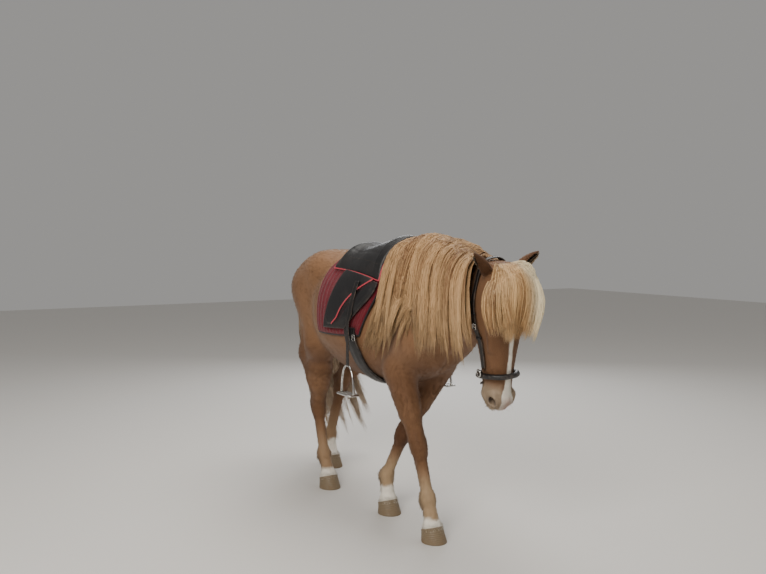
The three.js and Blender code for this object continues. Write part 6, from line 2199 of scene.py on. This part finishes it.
for side, sign in SIDES:
    at, out = round_head(-268, sign * float(cheek_angle(-268)))
    put = stand(at[0], out[0], 14, HEAD_AXES[2])
    buckle(f"{side}_cheek_clasp", 24, 30, 4, put, (f"{side}_cheek_buckle",))
    spot = length(head_line - at[0]).argmin()
    step = 9 if side == "right" else -9
    for n, shift in enumerate((-1, 1)):
        keeper(f"{side}_keeper_{n + 1}", spot + step * shift)
    rows = spot + step * np.array([2, 3, 4, -2, -3])
    holes(f"{side}_cheek_holes", head_line[rows] + head_outs[rows] * 5.5, head_outs[rows],
          Radius=0.002)

# %% Noseband, rolled and sewn along its back, and its rings
turns = np.linspace(0, 360, 121)[:-1]
at, out = round_head(NOSEBAND["at"] + 14 * np.cos(np.radians(turns)), turns)
band = at + out * (NOSEBAND["radius"] + NOSEBAND["over"])
for _ in range(3):
    band = (np.roll(band, 1, 0) + 2 * band + np.roll(band, -1, 0)) / 4
middle = band.mean(axis=0)
outward = unit(band - middle)
wrap = 1 + 0.03 * np.cos(np.radians(turns) * 24)
sweep("noseband_roll", band, outward, round_section(NOSEBAND["radius"] - 0.4, 20), black_leather,
      ("noseband",), closed=True, size=wrap,
      wear_at=np.tile(fade(np.cos(np.arange(20) / 20 * 2 * np.pi), 0.3, 1), 120))
under = band - HEAD_AXES[2] * (NOSEBAND["radius"] - 0.2)
stitches("noseband_stitches", [np.concatenate([under, under[:1]])], Spacing=0.006, Radius=0.0007)
for side, sign in SIDES:
    at, out = round_head(NOSEBAND["at"] + 14, sign * 96)
    put = stand(at[0], out[0], 31, HEAD_AXES[2])
    turn = np.linspace(0, 2 * np.pi, 49)[:-1]
    ring_line = put(np.stack([RING * np.cos(turn), RING * np.sin(turn), 0 * turn], 1))
    sweep(f"{side}_ring", ring_line, put([0, 0, 1]) - put([0, 0, 0]), round_section(3, 12),
          steel_bright, (f"{side}_bridle_ring",), closed=True)
    loop = np.array([(0, RING * math.cos(a) * 0.62 - 4, 8 * math.sin(a) - 6)
                     for a in np.linspace(0, 2 * np.pi, 33)[:-1]])
    sweep(f"{side}_ring_loop", put(loop), put([1, 0, 0]) - put([0, 0, 0]),
          strap_section(13, 2.4, 0.7)[:, ::-1], strap_leather, closed=True)

# %% Chin strap
coarse_turns = np.array([106.0, 125, 145, 163, 180, 197, 215, 235, 254])
drop = -26 - 34 * np.sin(np.radians(coarse_turns - 90))
at, out = round_head(NOSEBAND["at"] + drop, coarse_turns)
chin_line = curve_through(at + out * 7, 90)
chin_out = unit(curve_through(out, 90))
sweep("chin_strap_leather", chin_line - chin_out * 2.6, chin_out, strap_section(10, 4.6, 1.2),
      strap_leather, ("chin_strap",))
stitches("chin_strap_stitches", [chin_line + chin_out * 2.2], Spacing=0.005, Radius=0.0005,
         Reach=0.0018)
print("tack made,", round(time.time() - STARTED), "s in all")

# %% [markdown]
# ## Eyes, ears and hooves
#
# A horse's eye is a dark brown ball with a wide, lying pupil under a clear, bulging cornea. The
# highlight does most of the work, so the iris is painted on one ball by distance from its axis and
# the surface is kept wet. An ear is a rolled cup, shut at its base and open along one side, short
# fur outside and longer pale hair inside. A hoof grows in rings, slants forward and is dusty below.

# %% Eyes
eye_material, tree, shader = principled("wet_eye", Roughness=0.06, Coat_Roughness=0.02,
                                        Specular_IOR_Level=0.6)
shader.inputs["Coat Weight"].default_value = 0.8
rays = noise(tree, stretched(tree, object_place(tree), (500, 500, 260)), 1.0, 3.0)
iris = mix_colour(tree, rays, colour(34, 19, 12), colour(92, 56, 30))
iris = mix_colour(tree, ramp(tree, attribute(tree, "from_axis"), 0.86, 1.0), iris,
                  colour(30, 22, 20))
iris = mix_colour(tree, ramp(tree, attribute(tree, "from_axis"), 1.12, 1.5), iris,
                  colour(120, 92, 84))
tree.links.new(mix_colour(tree, attribute(tree, "pupil"), iris, colour(5, 6, 10)),
               shader.inputs["Base Color"])


def eye_ball(side, sign):
    rings, around = 44, 64
    axis = unit(np.array([0.36, 0.93 * sign, 0.02])) @ HEAD_AXES
    ahead = unit(HEAD_AXES[0] - axis * (HEAD_AXES[0] @ axis))
    upward = np.cross(axis, ahead)
    polar = np.linspace(0, np.pi, rings)[1:-1]
    turn = np.arange(around) / around * 2 * np.pi
    polar_all = np.concatenate([[0], np.repeat(polar, around), [np.pi]])
    turn_all = np.concatenate([[0], np.tile(turn, rings - 2), [0]])
    a, b = np.sin(polar_all) * np.cos(turn_all), np.sin(polar_all) * np.sin(turn_all)
    reach = EYE_RADIUS - 0.6 + 1.5 * bell(polar_all, 0.62, 4)
    points = from_head([ex, ey * sign, ez]) + reach[:, None] * (
        ahead * a[:, None] + upward * b[:, None] + axis * np.cos(polar_all)[:, None])
    first = 1 + np.arange(rings - 3)[:, None] * around
    k = np.arange(around)
    quads = np.stack([first + k, first + around + k, first + around + (k + 1) % around,
                      first + (k + 1) % around], -1).reshape(-1, 4)
    last = 1 + (rings - 3) * around
    caps = [(0, 1 + i, 1 + (i + 1) % around) for i in range(around)]
    caps += [(len(points) - 1, last + (i + 1) % around, last + i) for i in range(around)]
    piece = solid_piece(f"{side}_eyeball", points, [quads, caps], eye_material,
                        (f"{side}_eye",))
    give(piece, "from_axis", polar_all / 0.68)
    give(piece, "pupil", 1 - fade(np.hypot(a / 0.34, b / 0.17), 0.86, 1.12) * (polar_all < 1.2)
         - (polar_all >= 1.2))


for side, sign in SIDES:
    eye_ball(side, sign)


# %% Bristles: lashes and whiskers, each a thin bent cone
bristle_look = long_hair_look("dark_lashes", colour(34, 24, 20), colour(66, 48, 38),
                              colour(120, 100, 84))
whisker_look = long_hair_look("whiskers", colour(120, 100, 84), colour(190, 172, 150),
                              colour(230, 220, 204))


def bristles(name, roots, ways, droop, lengths, width, look):
    steps, count = 5, len(roots)
    at = np.linspace(0, 1, steps)
    line = roots[:, None] + (ways[:, None] * at[None, :, None]
                             + np.array(droop) * (at**2)[None, :, None]) \
        * np.asarray(lengths)[:, None, None]
    side = unit(np.cross(ways, (0.1, 0.2, 1.0)))
    other = np.cross(ways, side)
    turn = (np.arange(3) / 3 * 2 * np.pi)[None, None, :, None]
    ring = side[:, None, None] * np.cos(turn) + other[:, None, None] * np.sin(turn)
    thin = width / 2 * (1 - 0.75 * at[:-1])
    body = (line[:, :-1, None] + ring * thin[None, :, None, None]).reshape(count, -1, 3)
    vertices = np.concatenate([body, line[:, -1:]], 1)
    per = 3 * (steps - 1) + 1
    piece = mesh_piece(name, vertices.reshape(-1, 3), prisms(count, steps), look)
    give(piece, "strand", np.repeat(rng.random(count), per))
    give(piece, "along", np.tile(np.concatenate([np.repeat(at[:-1], 3), [1.0]]), count))
    bake_map(piece, lambda loops: (loops // per, np.tile([(0.5, 0.5)], (len(loops), 1))), roots)
    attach(piece, "root")


LASHES, WHISKERS = 38, 60
for side, sign in SIDES:
    t = np.linspace(-1, 1, LASHES)
    local = np.stack([ex + 1 - 21 * t, (ey + 11 - 13 * t**2 - 2 * t) * sign, ez + 14.5 - 13 * t**2],
                     1)
    roots = from_head(local + rng.uniform(-0.8, 0.8, local.shape))
    ways = unit(np.stack([0.2 - 0.4 * t, np.full(LASHES, 0.9 * sign), 0.12 + 0 * t], 1)
                + rng.normal(size=(LASHES, 3)) * 0.08)
    bristles(f"{side}_lashes", roots, ways @ HEAD_AXES, (0, 0, -0.34), rng.uniform(13, 20, LASHES),
             0.9, bristle_look)
chin = np.stack([rng.uniform(-58, 40, WHISKERS), rng.uniform(-46, 46, WHISKERS),
                 rng.uniform(-628, -575, WHISKERS)], 1)
chin_roots = settle(flesh, from_head(chin), rounds=8)
chin_ways = unit(gradient(flesh, chin_roots) + rng.normal(size=(WHISKERS, 3)) * 0.25)
bristles("muzzle_whiskers", chin_roots, chin_ways, (0, 0, -0.25), rng.uniform(16, 34, WHISKERS),
         0.7, whisker_look)

# %% Ears
EAR = smooth_stations([
    (-0.16, 22, 20, 14), (0, 24, 20, 18), (0.1, 25, 17, 34), (0.2, 28, 6, 52),
    (0.42, 28.5, 4.5, 70),
    (0.66, 22.5, 4, 84), (0.86, 12.5, 3.2, 98), (0.97, 4, 2, 108), (1.0, 1.2, 0.7, 110),
])
EAR_STEPS, EAR_RINGS = 26, 46
EAR_FUR, EAR_HAIR = 3800, 2400


def ear_frame(e):
    up = unit(np.array(e["way"])) @ HEAD_AXES
    wide = unit(np.array(e["opens"])) @ HEAD_AXES
    front = unit(wide - up * (wide @ up))
    return up, front, np.cross(up, front), from_head(ear_root(e["side"])) + up * EAR_STUB


def ear_point(e, t, degrees, inside):
    """A point on the outer or inner skin of the ear, and the direction away from its middle line."""
    up, front, across, foot = ear_frame(e)
    radius, wall, _ = EAR(t)
    turn = np.radians(degrees)
    out = front * np.cos(turn)[:, None] + across * (0.86 * np.sin(turn))[:, None]
    centre = (foot + up * ((EAR_LENGTH - EAR_STUB) * t)[:, None]
              - front * (10 * t * np.abs(t))[:, None])
    r = np.where(inside, radius - wall, radius)
    fold_in = 1 - 0.1 * bell(degrees - 180, 26) * fade(t, 0.1, 0.5)
    return centre + out * (r * fold_in)[:, None], out


def ear_shell(side, e):
    t = np.linspace(-0.16, 1.0, EAR_RINGS)
    gap = EAR(t)[2]
    s = np.linspace(0, 1, EAR_STEPS + 1)
    outer = lerp(gap[:, None], 360 - gap[:, None], s)
    degrees = np.concatenate([outer, outer[:, ::-1]], 1)
    inside = np.concatenate([np.zeros(EAR_STEPS + 1, bool), np.ones(EAR_STEPS + 1, bool)])
    per = degrees.shape[1]
    points, _ = ear_point(e, np.repeat(t, per), degrees.ravel(), np.tile(inside, EAR_RINGS))
    piece = solid_piece(f"{side}_ear_shell", points, tube(EAR_RINGS, per), skin_look,
                        (f"{side}_ear",))
    rim = np.tile(np.concatenate([np.abs(2 * s - 1) ** 8] * 2), EAR_RINGS)
    mark_ear(piece, np.tile(inside, EAR_RINGS) * 1.0, rim, np.repeat(t, per))
    fur(side, e)


def mark_ear(piece, inside, rim, t):
    """Darker towards the tip and the rim outside, pale and pinkish inside."""
    # The whole outside is painted dark, painted shade for the ear's shaded back; tip and rim darker
    # still
    give(piece, "dark", np.clip(0.75 + 0.3 * rim + 0.2 * t - 0.3 * inside, 0, 1))
    give(piece, "pale", inside * 0.85)
    give(piece, "bare", inside * 0.25)
    for name in ("white", "pink"):
        give(piece, name, 0 * t)
    # painted shade deep in the cup, towards its base
    give(piece, "painted_hollow_shade", inside * fade(0.3 - t, 0, 0.25) * 0.5)
    give(piece, "downward", 0 * t + 1)


def fur(side, e):
    """Short fur on the back of the ear, and pale hair standing in its opening."""
    up, front, _, foot = ear_frame(e)
    count = EAR_FUR
    t = rng.random(count) ** 0.8 * 1.04 - 0.1
    gap = EAR(t)[2]
    roots, out = ear_point(e, t, lerp(gap, 360 - gap, rng.random(count)), np.zeros(count, bool))
    way = unit(up + 0.12 * rng.normal(size=(count, 3)) + 0.1 * out)
    outer = sliver_mesh(f"{side}_ear_fur", roots, out, way, rng.uniform(6, 11, count),
                        np.full(count, 1.4), rng.uniform(0.6, 1.8, count))
    mark_ear(outer, np.zeros(count * 4), np.zeros(count * 4), np.repeat(t, 4))
    count = EAR_HAIR
    t = rng.random(count) * 0.78 + 0.06
    gap = EAR(t)[2]
    edge = np.where(rng.random(count) < 0.5, rng.random(count) ** 2 * 0.3,
                    1 - rng.random(count) ** 2 * 0.3)
    roots, out = ear_point(e, t, lerp(gap, 360 - gap, edge), np.ones(count, bool))
    to_middle = unit(foot + up * ((EAR_LENGTH - EAR_STUB) * t)[:, None] + front * 6 - roots)
    way = unit(up * 0.9 + to_middle * 0.75 + front * 0.35 + 0.16 * rng.normal(size=(count, 3)))
    inner = sliver_mesh(f"{side}_ear_hair", roots, -out, way,
                        rng.uniform(12, 26, count) * (1.1 - 0.5 * t),
                        np.full(count, 1.3), rng.uniform(1, 4, count))
    mark_ear(inner, np.ones(count * 4), np.zeros(count * 4), np.repeat(0.4 + 0 * t, 4))


def sliver_mesh(name, roots, out, way, long, wide, rise):
    piece = slivers(name, roots, out, way, long, wide, rise)
    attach(piece, "root")
    return piece


for side, e in EARS.items():
    ear_shell(side, e)

# %% Hooves
HOOF = {"half": 60, "toe": 68, "heel": 56, "topHalf": 50, "back": 66, "topLength": 100,
        "toeHeight": 78, "heelHeight": 44}
horn_look, tree, shader = principled("pale_horn", Specular_IOR_Level=0.35)
rise_at = attribute(tree, "rise")
fibres = noise(tree, stretched(tree, object_place(tree), (700, 700, 34)), 1.0, 4.0, 0.6)
rings_at = math_node(tree, "SINE", plus(tree, times(tree, rise_at, 58.0),
                                        times(tree, noise(tree, object_place(tree), 26.0), 7.0)))
rings_at = plus(tree, times(tree, rings_at, 0.5), 0.5)
horn = mix_colour(tree, fibres, colour(98, 84, 66), colour(158, 140, 112))
horn = mix_colour(tree, times(tree, rings_at, 0.35), horn, colour(92, 78, 64))
dusty = ramp(tree, noise(tree, object_place(tree), 44.0, 5.0, 0.65), 0.36, 0.7)
dusty = times(tree, dusty, minus(tree, 1.0, ramp(tree, rise_at, 0.1, 0.9)))
horn = mix_colour(tree, dusty, horn, colour(128, 108, 84))
relief = plus(tree, times(tree, rings_at, 0.7), fibres)
paint(tree, shader, horn, plus(tree, times(tree, dusty, 0.4), 0.42), (0.35, 0.0012, relief))


def hoof_piece(leg, seed):
    sides, levels = 84, 44
    turn = np.tile(np.arange(sides) / sides * 2 * np.pi, levels)
    rise = np.repeat(np.linspace(0, 1, levels), sides)
    c, s = np.cos(turn), np.sin(turn)
    reach = HOOF["topLength"] / 2
    x = reach * c + reach - HOOF["back"]
    height = (lerp(HOOF["heelHeight"], HOOF["toeHeight"], (x + HOOF["back"]) / HOOF["topLength"])
              - 0.3)
    top = np.stack([x, HOOF["topHalf"] * s, height], 1)
    foot = np.stack([np.where(c > 0, HOOF["toe"], HOOF["heel"]) * c, HOOF["half"] * s, 0 * s], 1)
    points = lerp(foot, top, rise[:, None])
    out = np.stack([c, s, 0 * c], 1)
    spread = 0.45 * np.sin(rise * 52 + 2.2 * wobble(points, 40, seed)) * (rise > 0.06)
    spread += 1.6 * bell(rise - 0.95, 0.06) - 2.4 * np.clip(1 - rise / 0.04, 0, 1) ** 2
    spread += 0.8 * wobble(points, 24, seed + 3)
    points = points + out * spread[:, None]
    rings = [points[:sides] * (1 - f) + points[:sides].mean(axis=0) * f + (0, 0, z)
             for f, z in ((0.14, 0), (0.22, 5), (0.7, 8))]
    dome = [points[-sides:] * (1 - f) + points[-sides:].mean(axis=0) * f + (0, 0, z)
            for f, z in ((0.12, 2), (0.5, 4))]
    points = np.concatenate([*rings[::-1], points, *dome])
    piece = solid_piece(f"{leg}_horn", points + LEGS[leg]["hoof"],
                        tube(len(rings) + levels + len(dome), sides),
                        horn_look, (f"{leg}_hoof",))
    give(piece, "rise", np.concatenate([np.zeros(sides * 3), rise, np.ones(sides * 2)]))


for n, leg in enumerate(LEGS):
    hoof_piece(leg, 60 + n)


# %% Longer hair over the coronets and behind the fetlocks
def behind_fetlock(p):
    best = np.zeros(len(p))
    for joints in LEGS.values():
        spot = joints["fetlock"] + (-30, 0, -22)
        best = np.maximum(best, bell(length((p - spot) * (1, 0.8, 0.7)), 34))
    return best


def at_coronet(p):
    """Close above the slanted top of the nearest hoof."""
    feet = np.array([joints["hoof"] for joints in LEGS.values()])
    x = p[:, 0] - feet[nearest_leg(p), 0] + HOOF["back"]
    top = lerp(HOOF["heelHeight"], HOOF["toeHeight"], x / HOOF["topLength"])
    return bell(p[:, 2] - top - 5, 9) * (p[:, 2] < 140)


tufts("coronet_hair", TUFTS["coronet_hair"], at_coronet, 15, 1.9, 3.4)
tufts("fetlock_feather", TUFTS["fetlock_feather"],
      lambda p: behind_fetlock(p) ** 2 * (p[:, 2] < 260),
      lambda p: 16 + 20 * behind_fetlock(p), 1.7, 5)
print("features made,", round(time.time() - STARTED), "s in all")

# %% [markdown]
# ## The floor
#
# A plain pale floor is enough under a model.

# %% Floor
FLOOR = 14
floor_mesh = bpy.data.meshes.new("floor")
floor_mesh.from_pydata([(x, y, 0) for x, y in ((-FLOOR, -FLOOR), (FLOOR, -FLOOR), (FLOOR, FLOOR),
                                               (-FLOOR, FLOOR))], [], [(0, 1, 2, 3)])
floor = new_object("floor", floor_mesh)
floor_finish, _, _ = principled("pale_floor", Base_Color=(0.74, 0.72, 0.69, 1), Roughness=0.9)
floor_mesh.materials.append(floor_finish)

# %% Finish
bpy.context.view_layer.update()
print("scene made in", round(time.time() - STARTED), "s")
